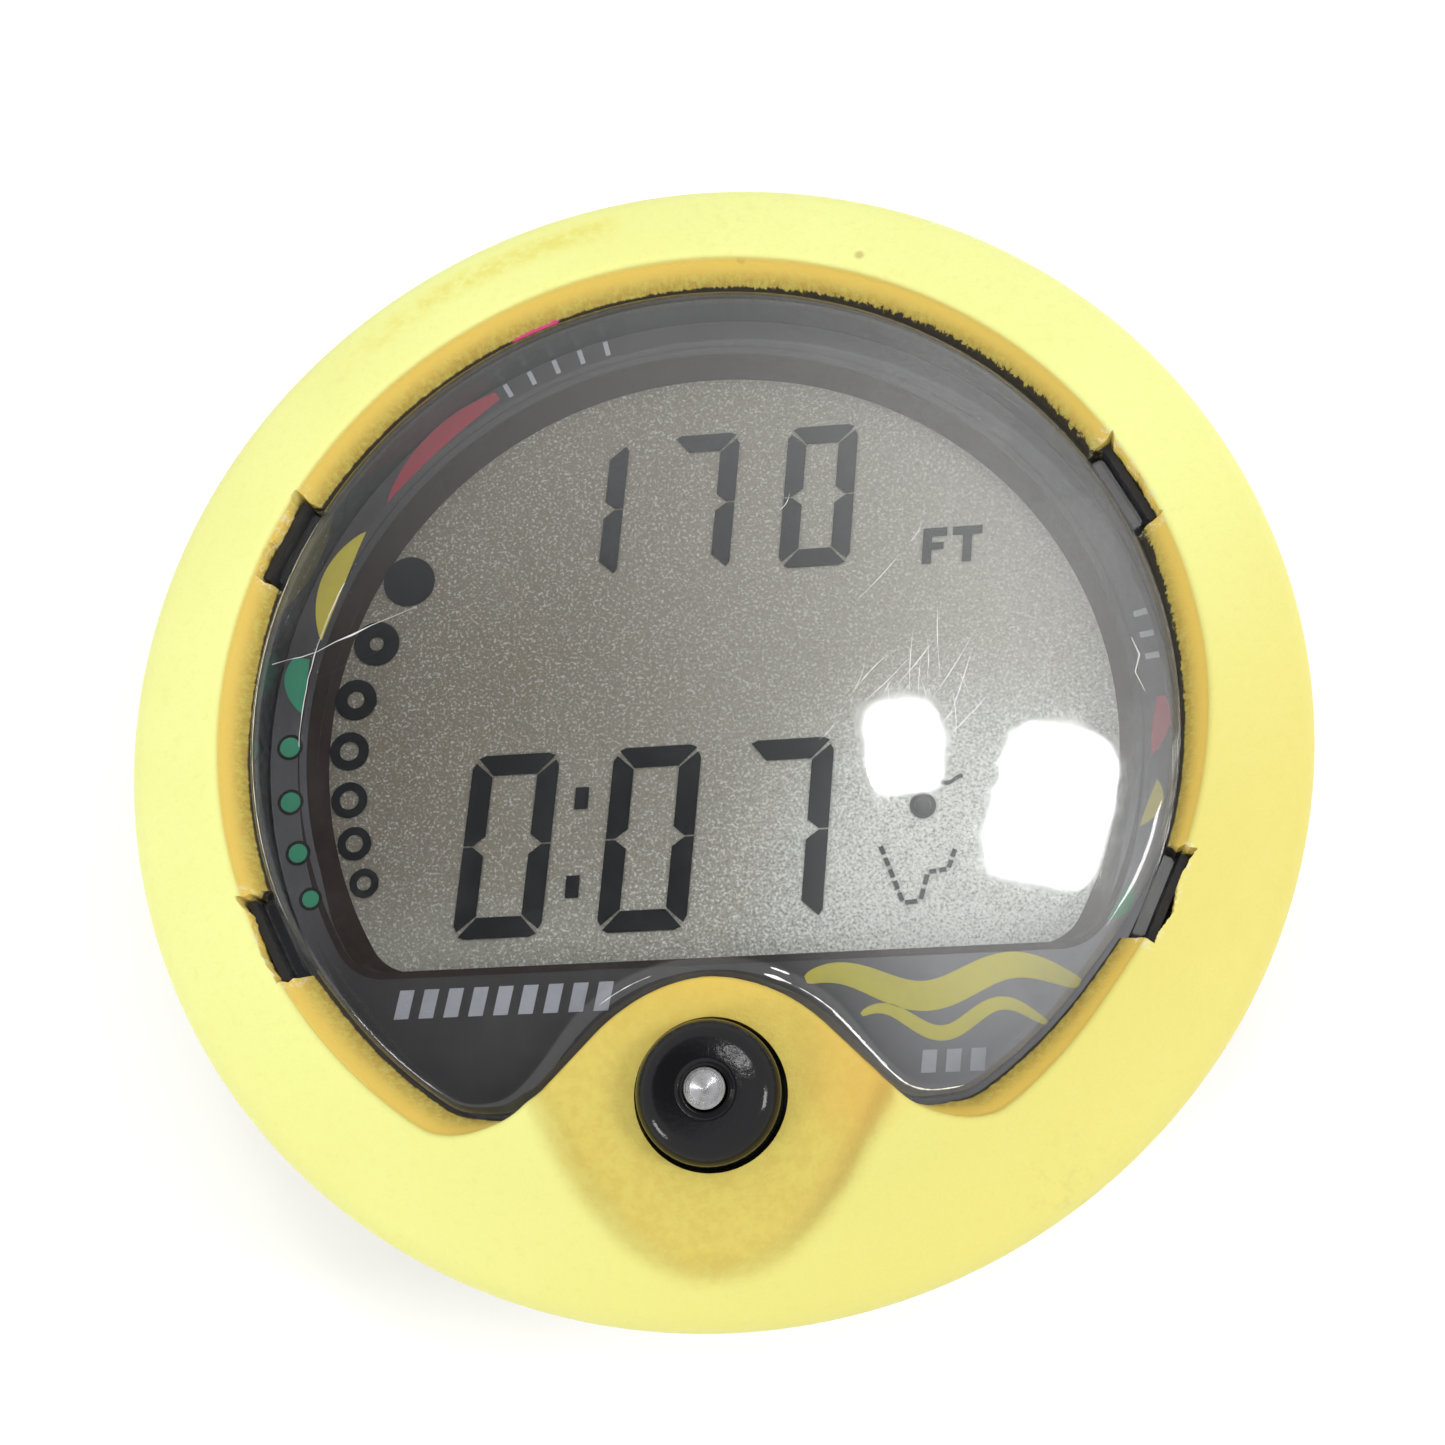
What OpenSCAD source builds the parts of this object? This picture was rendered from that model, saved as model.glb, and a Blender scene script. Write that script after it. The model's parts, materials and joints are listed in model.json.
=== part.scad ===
// Round dive computer module: a puck-shaped case with a clear lens, one push button,
// a soft trim ring round the face and a battery hatch in the back.
// The origin is the centre of the flat back. +Z runs to the face, +Y to twelve o'clock.

/* [Case] */
// Outer radius of the case barrel
case_r = 33; // [32.5:0.1:33.4]
// Wall thickness of the barrel
case_wall = 2.6; // [2.2:0.1:2.8]
// Thickness of the back
back_t = 2.4; // [2.2:0.1:2.6]
// Height at which the two case halves meet
split_z = 18.4; // [18.3:0.05:18.5]
// Height of the shelf round the lens
shelf_z = 23.4; // [23.3:0.05:23.6]
// Chamfer of the back edge
back_chamfer = 1; // [0.5:0.1:1.4]

/* [Trim ring] */
// Outer radius of the trim ring
ring_r = 38; // [37:0.1:39]
// Height of the trim ring's inner edge
rim_z = 27; // [26.8:0.05:27.3]
// Lowest height of the ring's skirt
skirt_z = 13.5; // [12:0.1:14]
// Radius of the inner wall at its foot
wall_foot_r = 30.6; // [30.4:0.05:30.8]
// Radius of the inner wall at the rim
wall_top_r = 31.7; // [31.5:0.05:32]
// Angle of the guard notches above and below the X axis
notch_angle = 26; // [22:1:30]
// Length of each notch along the wall
notch_w = 6.4; // [5:0.1:7]
// Depth of the thumb dish at its middle
dish_depth = 0.9; // [0.5:0.1:1.1]

/* [Window] */
// Radius of the lens
lens_r = 29.9; // [29.7:0.05:30]
// Distance from the centre down to the centre of the button hump
hump_y = 27.8; // [27.4:0.1:28.2]
// Radius of the lens cut-out round the button hump
hump_r = 10.2; // [9.9:0.1:10.4]
// Corner radius of the two lower lobes of the lens
lobe_r = 4.5; // [4:0.1:5]
// Thickness of the lens
lens_t = 3; // [2.8:0.1:3]
// Thickness of the guard over the lens
guard_t = 2; // [1.8:0.1:2.1]
// Width and height of the guard's bevel
guard_bevel = 1.6; // [1.2:0.1:1.7]

/* [Display] */
// Radius of the visible display
view_r = 26.5; // [26:0.1:26.6]
// Distance from the centre down to the display's flat lower edge
view_flat = 14.75; // [14.4:0.05:15]
// Corner radius of the display's lower corners
view_corner = 3.2; // [2.5:0.1:4]
// Height of the display's surface
view_z = 18.6; // [18.4:0.05:18.65]
// Radius of the opening in the printed mask
mask_r = 27.8; // [27.6:0.05:27.9]

/* [Button] */
// Distance from the centre down to the button
button_y = 24.3; // [24:0.1:24.6]
// Radius of the button cap
cap_r = 4.25; // [4:0.05:4.4]
// Height of the cap's crown
cap_z = 28.55; // [28.2:0.05:28.8]
// Radius of the steel stem
stem_r = 1.24; // [1.2:0.01:1.25]
// Height of the stem's end above the back
stem_z = 29.1; // [28.9:0.05:29.4]
// Travel of the button
travel = 1.2; // [0.8:0.1:1.2]
// Turns of the return spring
spring_turns = 4; // [3:1:5]

/* [Battery and hatch] */
// Radius of the coin cell
cell_r = 12.25; // [12:0.05:12.25]
// Thickness of the coin cell
cell_t = 5; // [4.8:0.1:5]
// Outer radius of the hatch ring
hatch_r = 17.5; // [17.4:0.05:17.55]
// Number of bayonet lugs on the hatch ring
lugs = 6; // [4:1:8]
// Turn of the hatch ring from locked to open, in degrees
hatch_turn = 15; // [14:1:18]
// Width of one lug, in degrees
lug_w = 12; // [9:1:13]

/* [Electronics] */
// Height of the circuit board's underside
board_z = 12.8; // [12.7:0.05:12.9]
// Thickness of the circuit board
board_t = 1; // [0.8:0.1:1]
// Distance from the centre up to the pressure sensor
sensor_y = 23.6; // [23.4:0.1:24]
// Distance from the centre out to the board screws
post_r = 24.6; // [24.2:0.1:24.8]

/* [Hidden] */
$fn = 96;
eps = 0.01;

// Heights of the stack above the board
board_top = board_z + board_t;
cell_z = view_z - 2.2;
seal_z = 20.3;
mask_z = 20.9;
mask_top = 21.2;
lens_z = 21.26;
guard_z = lens_z + lens_t;
guard_top = guard_z + guard_t;
chamber_r = case_r - case_wall;
upper_r = case_r - 0.4;

// Battery well and hatch
lug_r = hatch_r + 1.2;
hatch_z = 0.3;
lug_z = 1.5;
ledge_z = 3;
well_z = 4.6;
cover_r = 16.7;
well_top = 10.5;
well_roof = 11.9;
hatch_ring_hole = 13.2;
bar_screw_x = 13.9;

// Button parts
clip_t = 0.4;
bush_z = 19.4;
gland_r = 1.67;
spring_z = 22.8;
spring_top = 26.8;
spring_seat_r = 3.1;
foot_z = 17.75;
switch_z = 16.4;
seal_heights = [21, 22.2];

post_angles = [45, 135, 225, 315];
contact_angle = 205;
contact_r = 24;
notch_angles = [notch_angle, 180 - notch_angle, 180 + notch_angle, 360 - notch_angle];

// Points on an arc about (cx, cy)
function arc(cx, cy, r, a0, a1, n) =
  [for (i = [0:n]) let (a = a0 + (a1 - a0) * i / n) [cx + r * cos(a), cy + r * sin(a)]];

// Outline of the window: a circle with a round hump cut into its foot and two rounded lobes
function lobe_centre(r, hump, lobe) =
  let (s = (hump + lobe) * sqrt(2) - hump_y, x = (s + sqrt(2 * pow(r - lobe, 2) - s * s)) / 2)
  [x, s - x];
function window_points(r, hump, lobe) =
  let (c = lobe_centre(r, hump, lobe), a = atan2(c.y, c.x))
  concat(
    arc(0, 0, r, a, 180 - a, 90),
    arc(-c.x, c.y, lobe, 180 - a, 315, 10),
    arc(0, -hump_y, hump, 135, 45, 16),
    arc(c.x, c.y, lobe, 225, 360 + a, 10)
  );

// Outline of the display: a circle with a flat foot and rounded corners
function view_points(r, flat, corner) =
  let (y = corner - flat, x = sqrt(pow(r - corner, 2) - y * y), a = atan2(y, x))
  concat(
    arc(0, 0, r, a, 180 - a, 72),
    arc(-x, y, corner, 180 - a, 270, 8),
    arc(x, y, corner, 270, 360 + a, 8)
  );

// Prism between two heights of the lens outline drawn in by an inset
module window_prism(inset, z0, z1) {
  translate([0, 0, z0])
    linear_extrude(z1 - z0)
      polygon(window_points(lens_r - inset, hump_r + inset, lobe_r - inset));
}

// Prism between two heights of the display outline moved out by a margin
module view_prism(margin, z0, z1) {
  translate([0, 0, z0])
    linear_extrude(z1 - z0)
      polygon(view_points(view_r + margin, view_flat + margin, view_corner + margin));
}

// Ring or disc between two heights
module tube(r_out, r_in, z0, z1) {
  difference() {
    translate([0, 0, z0]) cylinder(r = r_out, h = z1 - z0);
    if (r_in > 0) translate([0, 0, z0 - 1]) cylinder(r = r_in, h = z1 - z0 + 2);
  }
}

// Round hole or rod between two heights
module rod(r, z0, z1) {
  translate([0, 0, z0]) cylinder(r = r, h = z1 - z0);
}

module torus(r, section, z) {
  translate([0, 0, z])
    rotate_extrude()
      translate([r, 0]) circle(r = section, $fn = 24);
}

module at_angle(a, r) {
  rotate(a) translate([r, 0, 0]) children();
}

// Wedge of a ring, centred on the +X axis
module sector(r_in, r_out, width, z0, z1) {
  rotate(-width / 2)
    translate([0, 0, z0])
      rotate_extrude(angle = width)
        translate([r_in, 0]) square([r_out - r_in, z1 - z0]);
}

// ---- case ----

// Cup with the back face, the battery well, the board posts and the sensor port
module lower_case() {
  boss_z = 9;
  channel_r = lug_r + 0.1;
  channel_z = lug_z - 0.1;
  tube_r = cell_r + 2.6;
  bore_r = cell_r + 0.35;
  groove_r = upper_r - 0.6;
  groove_z = skirt_z + 1.4;
  outside = [
    [hatch_r + 0.1, 0], [case_r - back_chamfer, 0], [case_r, back_chamfer], [case_r, skirt_z],
    [upper_r, skirt_z], [upper_r, groove_z], [groove_r, groove_z], [groove_r, groove_z + 1.2],
    [upper_r, groove_z + 1.2], [upper_r, split_z]
  ];
  inside = [
    [chamber_r, split_z], [chamber_r, back_t], [channel_r + 1.5, back_t],
    [channel_r + 1.5, well_z + 1.2], [tube_r, well_z + 1.2], [tube_r, well_roof], [0, well_roof]
  ];
  battery_side = [
    [0, well_top], [bore_r, well_top], [bore_r, well_z], [cover_r + 0.1, well_z],
    [cover_r + 0.1, ledge_z], [channel_r, ledge_z], [channel_r, channel_z],
    [hatch_r + 0.1, channel_z]
  ];
  color("#26272a")
  difference() {
    union() {
      rotate_extrude() polygon(concat(outside, inside, battery_side));
      translate([0, sensor_y, 0]) rod(4.8, back_t - 0.5, boss_z);
      for (a = post_angles) at_angle(a, post_r) rod(2.3, back_t - 0.5, board_z);
      at_angle(contact_angle, contact_r) rod(2.4, back_t - 0.5, 8);
    }
    // entries through which the hatch ring's lugs drop into their channel
    for (i = [0:lugs - 1])
      rotate(360 / lugs * i + hatch_turn)
        sector(10, channel_r - 0.05, lug_w + 1.5, -1, lug_z + 0.5);
    // blind holes of the battery bar's screws and the slot of the plus contact
    for (s = [-1, 1]) translate([s * bar_screw_x, 0, 0]) rod(0.72, well_z - 1, well_z + 3.4);
    translate([-2, cell_r - 0.5, well_z - 1]) cube([4, 1.6, 5]);
    // sensor bore and its water holes
    translate([0, sensor_y, 0]) rod(3.2, 1.6, boss_z + 1);
    translate([0, sensor_y, 0]) rod(0.5, -1, 2);
    for (i = [0:5]) translate([0, sensor_y, 0]) at_angle(60 * i, 1.9) rod(0.5, -1, 2);
    // board screw holes
    for (a = post_angles) at_angle(a, post_r) rod(0.72, board_z - 5.2, board_z + 1);
    // wet contact hole and the recess of its head
    at_angle(contact_angle, contact_r) rod(0.85, -1, 9);
    at_angle(contact_angle, contact_r) rod(1.7, -1, 1);
  }
}

// Frame that carries the lens, the button boss and the four guard lugs
module upper_case() {
  tongue_r = chamber_r - 0.1;
  color("#2c2d30")
  difference() {
    union() {
      rod(upper_r, split_z, shelf_z);
      tube(tongue_r, tongue_r - 0.8, split_z - 1, split_z + 0.5);
      for (a = notch_angles)
        rotate(a)
          translate([30.8, -notch_w / 2 + 0.3, shelf_z - eps]) cube([0.5, notch_w - 0.6, 2]);
    }
    window_prism(1.2, split_z - 1, seal_z + 1);
    window_prism(-0.12, seal_z, shelf_z + 1);
    translate([0, -button_y, 0]) rod(2.4, split_z - 1, bush_z);
    translate([0, -button_y, 0]) rod(gland_r, split_z - 1, shelf_z + 1);
    translate([0, -button_y, 0]) rod(spring_seat_r, spring_z, shelf_z + 1);
  }
}

// Soft ring that snaps over the case and frames the face
module bezel_ring() {
  edge = 2.4;
  edge_z = 23.9;
  layers = 5;
  ledge = shelf_z + 0.02;
  dish_r = 45;
  bore_r = upper_r + 0.05;
  bead_r = bore_r - 0.5;
  inner = [
    [bore_r, ledge], [bore_r, skirt_z + 2.4], [bead_r, skirt_z + 2.3],
    [bead_r, skirt_z + 1.7], [bore_r, skirt_z + 1.6], [bore_r, skirt_z]
  ];
  skirt = [[ring_r - 3.4, skirt_z], [ring_r - 2.6, skirt_z + 0.6], [ring_r - 0.9, skirt_z + 6]];
  face = [[34.4, 26.75], [33, rim_z - 0.08], [wall_top_r, rim_z], [27, 26.7], [22, 26.4],
          [19.6, 26.1], [18.4, 25.6], [17.6, 24.8], [17.2, ledge]];
  profile = concat(inner, skirt, arc(ring_r - edge, edge_z, edge, -12, 66, 13), face);
  color("#f0e86a")
  difference() {
    rotate_extrude($fn = 160) polygon(profile);
    for (i = [0:layers - 1]) {
      t = (i + 0.5) / layers;
      z0 = ledge + (rim_z - ledge) * i / layers;
      z1 = ledge + (rim_z - ledge) * (i + 1) / layers;
      translate([0, 0, z0 - eps])
        linear_extrude(z1 - z0 + 2 * eps + (i == layers - 1 ? 1 : 0))
          polygon(window_points(wall_foot_r + (wall_top_r - wall_foot_r) * t, hump_r - 0.3,
                                lobe_r + 0.3 + 0.6 * t));
    }
    for (a = notch_angles)
      rotate(a) translate([29, -notch_w / 2, ledge - 1]) cube([2.45, notch_w, 6]);
    translate([0, -button_y, 0]) rod(cap_r + 0.4, ledge - 1, rim_z + 1);
    translate([0, -button_y - 2.6, rim_z - 0.3 - dish_depth + dish_r]) sphere(r = dish_r, $fn = 96);
  }
}

// ---- window ----

module lens() {
  color("#dfe6e8", 0.35) window_prism(0, lens_z, guard_z);
}

// Clear cover with a bevel built up in thin layers, and four tabs
module lens_guard() {
  layers = 6;
  color("#e8eef0", 0.3)
  union() {
    window_prism(0.05, guard_z, guard_top - guard_bevel);
    for (i = [0:layers - 1])
      window_prism(
        0.05 + guard_bevel * (i + 0.5) / layers,
        guard_top - guard_bevel + guard_bevel * i / layers - eps,
        guard_top - guard_bevel + guard_bevel * (i + 1) / layers
      );
    for (a = notch_angles)
      rotate(a)
        translate([lens_r - 1, -notch_w / 2 + 0.6, guard_z]) cube([1.7, notch_w - 1.2, 0.4]);
  }
}

module lens_seal() {
  color("#1c1c1c")
  difference() {
    window_prism(0.1, seal_z, mask_z);
    window_prism(1.1, seal_z - 1, mask_z + 1);
  }
}

// Printed film under the lens, with the display opening
module dial_mask() {
  color("#5e5c60")
  difference() {
    window_prism(0.1, mask_z, mask_top);
    translate([0, 0, mask_z - 1])
      linear_extrude(3) polygon(view_points(mask_r, view_flat + 0.4, view_corner));
  }
}

// Frame that holds the display cell and forms the sloping wall of its well
module lcd_frame() {
  layers = 4;
  lip_z = view_z + 0.22;
  color("#231d1c")
  difference() {
    window_prism(1.3, board_top + 0.05, mask_z);
    window_prism(2.4, board_top - 1, cell_z - 0.2);
    view_prism(0.5, cell_z - 0.3, lip_z);
    for (i = [0:layers - 1]) {
      t = (i + 0.5) / layers;
      z0 = lip_z + (mask_z - lip_z) * i / layers;
      z1 = lip_z + (mask_z - lip_z) * (i + 1) / layers;
      translate([0, 0, z0 - eps])
        linear_extrude(z1 - z0 + 2 * eps + (i == layers - 1 ? 1 : 0))
          polygon(view_points(view_r + (mask_r - view_r) * t, view_flat + 0.3 * t, view_corner));
    }
  }
}

module lcd_glass() {
  color("#a9a996") view_prism(0.45, cell_z, view_z);
}

module lcd_polariser() {
  color("#8f9084", 0.4) view_prism(0.2, view_z + 0.04, view_z + 0.2);
}

module lcd_reflector() {
  color("#c9cabd") view_prism(-1.5, cell_z - 0.15, cell_z);
}

module zebra_strips() {
  strip_w = 1.8;
  color("#d9a6a0")
  for (place = [[0, -13.4, 32], [0, 20.6, 26]])
    translate([-place[2] / 2, place[1] - strip_w / 2, board_top])
      cube([place[2], strip_w, cell_z - 0.16 - board_top]);
}

// ---- electronics ----

module circuit_board() {
  color("#1f5a3a")
  difference() {
    rod(chamber_r - 1, board_z, board_top);
    for (a = post_angles) at_angle(a, post_r) rod(0.9, board_z - 1, board_top + 1);
  }
}

module board_chips() {
  chips = [[-4, 4, 10, 10, 1.2], [10, -3, 5, 6, 1], [-14, -4, 4, 5, 1], [4, 14, 3, 2, 0.8],
           [13, 8, 2, 1.2, 0.6], [-12, 10, 2, 1.2, 0.6], [2, -8, 2, 1.2, 0.6]];
  color("#1b1b1d")
  for (c = chips)
    translate([c[0] - c[2] / 2, c[1] - c[3] / 2, board_top]) cube([c[2], c[3], c[4]]);
}

module crystal_can() {
  color("#b9bcc0")
  translate([6, 4, board_top + 0.8])
    rotate([0, 90, 0]) cylinder(r = 0.8, h = 6);
}

module screw(head_r, head_t, shank_r, length) {
  difference() {
    union() {
      rod(shank_r, -length, eps);
      rod(head_r, 0, head_t);
    }
    for (a = [0, 90])
      rotate(a) translate([-head_r * 0.6, -0.15, head_t * 0.45]) cube([head_r * 1.2, 0.3, 1]);
  }
}

module board_screws() {
  color("#a8abb0")
  for (a = post_angles)
    at_angle(a, post_r) translate([0, 0, board_top]) screw(1.5, 0.8, 0.68, 5);
}

module piezo_disc() {
  color("#b98a3c")
  union() {
    rod(10, well_roof, well_roof + 0.25);
    rod(7, well_roof + 0.2, well_roof + 0.5);
  }
}

module pressure_sensor() {
  color("#c3c6ca")
  translate([0, sensor_y, 0])
  difference() {
    union() {
      rod(3.1, 4.1, 10.9);
      translate([-3.3, -3.3, 10.8]) cube([6.6, 6.6, board_z - 10.8]);
    }
    rod(1.2, 3, 5.2);
  }
}

module sensor_seal() {
  color("#161616") translate([0, sensor_y, 0]) torus(2.5, 0.6, 3.5);
}

module port_filter() {
  pitch = 0.9;
  color("#a5a8ab")
  translate([0, sensor_y, 0])
  difference() {
    rod(3.1, 1.65, 1.85);
    for (x = [-2:2], y = [-2:2])
      translate([x * pitch, y * pitch, 0]) rod(0.25, 1, 3);
  }
}

module contact_pin() {
  color("#c8a24a")
  at_angle(contact_angle, contact_r)
  union() {
    rod(1.6, 0.15, 0.98);
    rod(0.8, 0.9, board_z);
  }
}

// ---- battery and hatch ----

module battery() {
  color("#c9ccd0")
  union() {
    rod(cell_r, well_z + 0.05, well_z + cell_t - 0.5);
    rod(cell_r - 1.4, well_z + cell_t - 0.51, well_z + cell_t + 0.05);
  }
}

// Sprung leaf over the battery's small face
module battery_leaf_minus() {
  top = well_z + cell_t + 0.1;
  color("#d3b25c")
  translate([0, 2.5, 0])
    rotate([90, 0, 0])
      linear_extrude(5)
        polygon(concat(
          [for (x = [-8:2:8]) [x, top + (well_top - top - 0.35) * abs(x) / 8]],
          [for (x = [8:-2:-8]) [x, top + 0.25 + (well_top - top - 0.35) * abs(x) / 8]]
        ));
}

// Strip in a slot of the well that touches the battery's rim
module battery_clip_plus() {
  color("#d3b25c")
  translate([-1.6, cell_r + 0.05, well_z - 0.8]) cube([3.2, 0.3, 4.4]);
}

module battery_bar() {
  half = bar_screw_x + 1.1;
  color("#b4b7bb")
  difference() {
    translate([-half, -2.2, well_z - 0.55]) cube([2 * half, 4.4, 0.5]);
    for (s = [-1, 1]) translate([s * bar_screw_x, 0, 0]) rod(0.75, well_z - 2, well_z + 1);
  }
}

module bar_screws() {
  color("#9b9ea3")
  for (s = [-1, 1])
    translate([s * bar_screw_x, 0, well_z - 0.56])
      rotate([180, 0, 0]) screw(1.05, 0.35, 0.68, 3.4);
}

// Lid with an O-ring groove, a recess for the battery bar and a raised middle
module hatch_cover() {
  color("#303136")
  difference() {
    union() {
      rod(cover_r, ledge_z + 0.05, well_z - 0.05);
      rod(hatch_ring_hole - 0.25, 0.9, ledge_z + 0.1);
    }
    tube(cover_r + 1, cover_r - 1, ledge_z + 0.3, ledge_z + 1.3);
    rod(15.2, well_z - 1, well_z + 1);
    for (a = [0:60:300])
      rotate(a) translate([5.5, -0.5, 0]) cube([6, 1, 1.3]);
  }
}

module hatch_seal() {
  color("#7c2f2a") torus(cover_r - 0.48, 0.48, ledge_z + 0.8);
}

// Bayonet ring with lugs, a grip edge and two tool slots
module hatch_ring() {
  grips = 36;
  color("#3a3c42")
  difference() {
    union() {
      rod(hatch_r, hatch_z, ledge_z - 0.05);
      for (i = [0:lugs - 1])
        rotate(360 / lugs * i) sector(hatch_r - 1, lug_r, lug_w, lug_z, ledge_z - 0.1);
    }
    rod(hatch_ring_hole, -1, ledge_z + 1);
    for (i = [0:grips - 1])
      at_angle(360 / grips * i, hatch_r + 0.25) rod(0.55, hatch_z - 1, hatch_z + 0.7);
    for (s = [0, 180])
      rotate(s) translate([hatch_ring_hole - 1, -1.5, hatch_z - 1]) cube([3.4, 3, 2]);
  }
}

// ---- button ----

module on_button() {
  translate([0, -button_y, 0]) children();
}

// Cap with a crowned rim, a shallow dish round the stem and a spring recess underneath
module button_cap() {
  foot = spring_top - 1.8;
  dish_z = cap_z - 0.65;
  profile = concat(
    [[spring_seat_r - 0.1, foot], [cap_r, foot], [cap_r, cap_z - 1.2]],
    arc(cap_r - 1.2, cap_z - 1.2, 1.2, 15, 75, 5),
    [[cap_r - 1.6, cap_z]],
    arc(stem_r + 1, cap_z - 0.7, 0.7, 80, 120, 3),
    [[stem_r + 0.02, dish_z], [stem_r + 0.02, spring_top], [spring_seat_r - 0.1, spring_top]]
  );
  color("#121213") on_button() rotate_extrude() polygon(profile);
}

// Steel stem with seal grooves, a clip groove and a dimpled end
module button_stem() {
  chamfer = 0.2;
  color("#d5d7da")
  on_button()
  difference() {
    union() {
      rod(stem_r, foot_z, stem_z - chamfer);
      translate([0, 0, stem_z - chamfer - eps])
        cylinder(r1 = stem_r, r2 = stem_r - chamfer, h = chamfer);
    }
    translate([0, 0, stem_z - 0.42]) cylinder(r1 = 0, r2 = 0.9, h = 0.45);
    for (z = seal_heights) tube(stem_r + 1, 0.94, z - 0.4, z + 0.4);
    tube(stem_r + 1, 0.9, split_z - 0.05 - clip_t - 0.05, split_z);
  }
}

module stem_seals() {
  color("#1a1a1a")
  on_button() for (z = seal_heights) torus(1.29, 0.33, z);
}

// E-shaped clip in the stem's lower groove
module stem_clip() {
  color("#9fa2a6")
  on_button()
  difference() {
    rod(2.6, split_z - 0.05 - clip_t, split_z - 0.05);
    rod(0.92, 0, 30);
    translate([-0.7, -4, 0]) cube([1.4, 4, 30]);
    for (s = [-1, 1]) translate([s * 1.6, 0.6, 0]) rod(0.5, 0, 30);
  }
}

module stem_bush() {
  color("#b8913f") on_button() tube(2.38, stem_r + 0.04, split_z, bush_z - 0.02);
}

// Wire coil swept along a helix between the boss and the cap
module button_spring() {
  wire = 0.24;
  coil_r = 2.4;
  sides = 6;
  steps = spring_turns * 14;
  bottom = spring_z + wire + 0.02;
  rise = spring_top - spring_z - 2 * wire - 0.04;
  points = [for (i = [0:steps], k = [0:sides - 1])
    let (a = 360 * spring_turns * i / steps, b = 360 * k / sides, r = coil_r + wire * cos(b))
    [r * cos(a), r * sin(a), bottom + rise * i / steps + wire * sin(b)]];
  wall = [for (i = [0:steps - 1], k = [0:sides - 1])
    let (p = i * sides + k, q = i * sides + (k + 1) % sides)
    [p, p + sides, q + sides, q]];
  first = [for (k = [0:sides - 1]) k];
  last = [for (k = [sides - 1:-1:0]) steps * sides + k];
  color("#c2c5c9") on_button() polyhedron(points, concat(wall, [first, last]));
}

// Push switch on the board, hollow for its plunger
module switch_body() {
  color("#3b3d40")
  on_button()
  difference() {
    translate([-3, -3, board_top]) cube([6, 6, switch_z - board_top]);
    rod(1.75, switch_z - 1.2 - travel, switch_z - 0.6);
    rod(1.26, board_top + 1, switch_z + 1);
  }
}

module switch_plunger() {
  color("#c8483c")
  on_button()
  union() {
    rod(1.6, switch_z - 1.15, switch_z - 0.65);
    rod(1.2, switch_z - 0.7, foot_z - 0.05);
  }
}

lower_case();
upper_case();
bezel_ring();
lens();
lens_guard();
lens_seal();
dial_mask();
lcd_frame();
lcd_glass();
lcd_polariser();
lcd_reflector();
zebra_strips();
circuit_board();
board_chips();
crystal_can();
board_screws();
piezo_disc();
pressure_sensor();
sensor_seal();
port_filter();
contact_pin();
battery();
battery_leaf_minus();
battery_clip_plus();
battery_bar();
bar_screws();
hatch_cover();
hatch_seal();
hatch_ring();
button_cap();
button_stem();
stem_seals();
stem_clip();
stem_bush();
button_spring();
switch_body();
switch_plunger();
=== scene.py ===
"""Looks of the dive computer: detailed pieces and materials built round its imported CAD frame."""
import json
import math
import random

import bmesh
import bpy
import numpy as np
from mathutils import Matrix, Vector


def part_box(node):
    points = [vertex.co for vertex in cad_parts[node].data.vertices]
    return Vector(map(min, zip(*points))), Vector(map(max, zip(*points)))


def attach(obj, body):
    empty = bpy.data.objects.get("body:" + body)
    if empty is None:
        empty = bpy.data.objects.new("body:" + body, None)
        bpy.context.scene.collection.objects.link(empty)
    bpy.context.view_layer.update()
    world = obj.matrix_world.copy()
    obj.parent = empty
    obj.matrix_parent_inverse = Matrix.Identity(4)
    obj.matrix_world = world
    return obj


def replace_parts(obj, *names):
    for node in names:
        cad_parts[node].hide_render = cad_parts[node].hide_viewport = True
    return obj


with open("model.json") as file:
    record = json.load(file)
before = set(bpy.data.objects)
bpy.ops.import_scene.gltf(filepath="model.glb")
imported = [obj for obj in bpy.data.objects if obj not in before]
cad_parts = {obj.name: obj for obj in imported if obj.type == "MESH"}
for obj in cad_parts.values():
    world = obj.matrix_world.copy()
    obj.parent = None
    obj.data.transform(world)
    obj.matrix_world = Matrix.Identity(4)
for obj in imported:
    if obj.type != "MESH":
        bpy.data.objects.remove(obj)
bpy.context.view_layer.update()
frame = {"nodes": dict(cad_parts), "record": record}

MM = 0.001
rng = random.Random(7)


def cad_mm(node):
    """Lowest and highest corners of a CAD node, in millimetres."""
    low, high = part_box(node)
    return low / MM, high / MM


# ---------------------------------------------------------------- sizes from the frame, in mm
RING_LOW, RING_HIGH = cad_mm("bezel_ring")
LENS_HIGH = cad_mm("lens")[1]
GUARD_LOW, GUARD_HIGH = cad_mm("lens_guard")
CAP_LOW, CAP_HIGH = cad_mm("button_cap")
STEM_LOW, STEM_HIGH = cad_mm("button_stem")
MASK_Z = cad_mm("dial_mask")[1].z
INK_Z = cad_mm("lcd_polariser")[1].z

RING_R = RING_HIGH.x
RIM_Z = RING_HIGH.z
SKIRT_Z = RING_LOW.z
LENS_R = LENS_HIGH.x
BORE_R = cad_mm("upper_case")[1].x + 0.05
LEDGE_Z = GUARD_LOW.z - 0.84
BUTTON_Y = (CAP_LOW.y + CAP_HIGH.y) / 2
CAP_R = (CAP_HIGH.x - CAP_LOW.x) / 2
STEM_R = (STEM_HIGH.x - STEM_LOW.x) / 2
TRAVEL = 1.2

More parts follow.
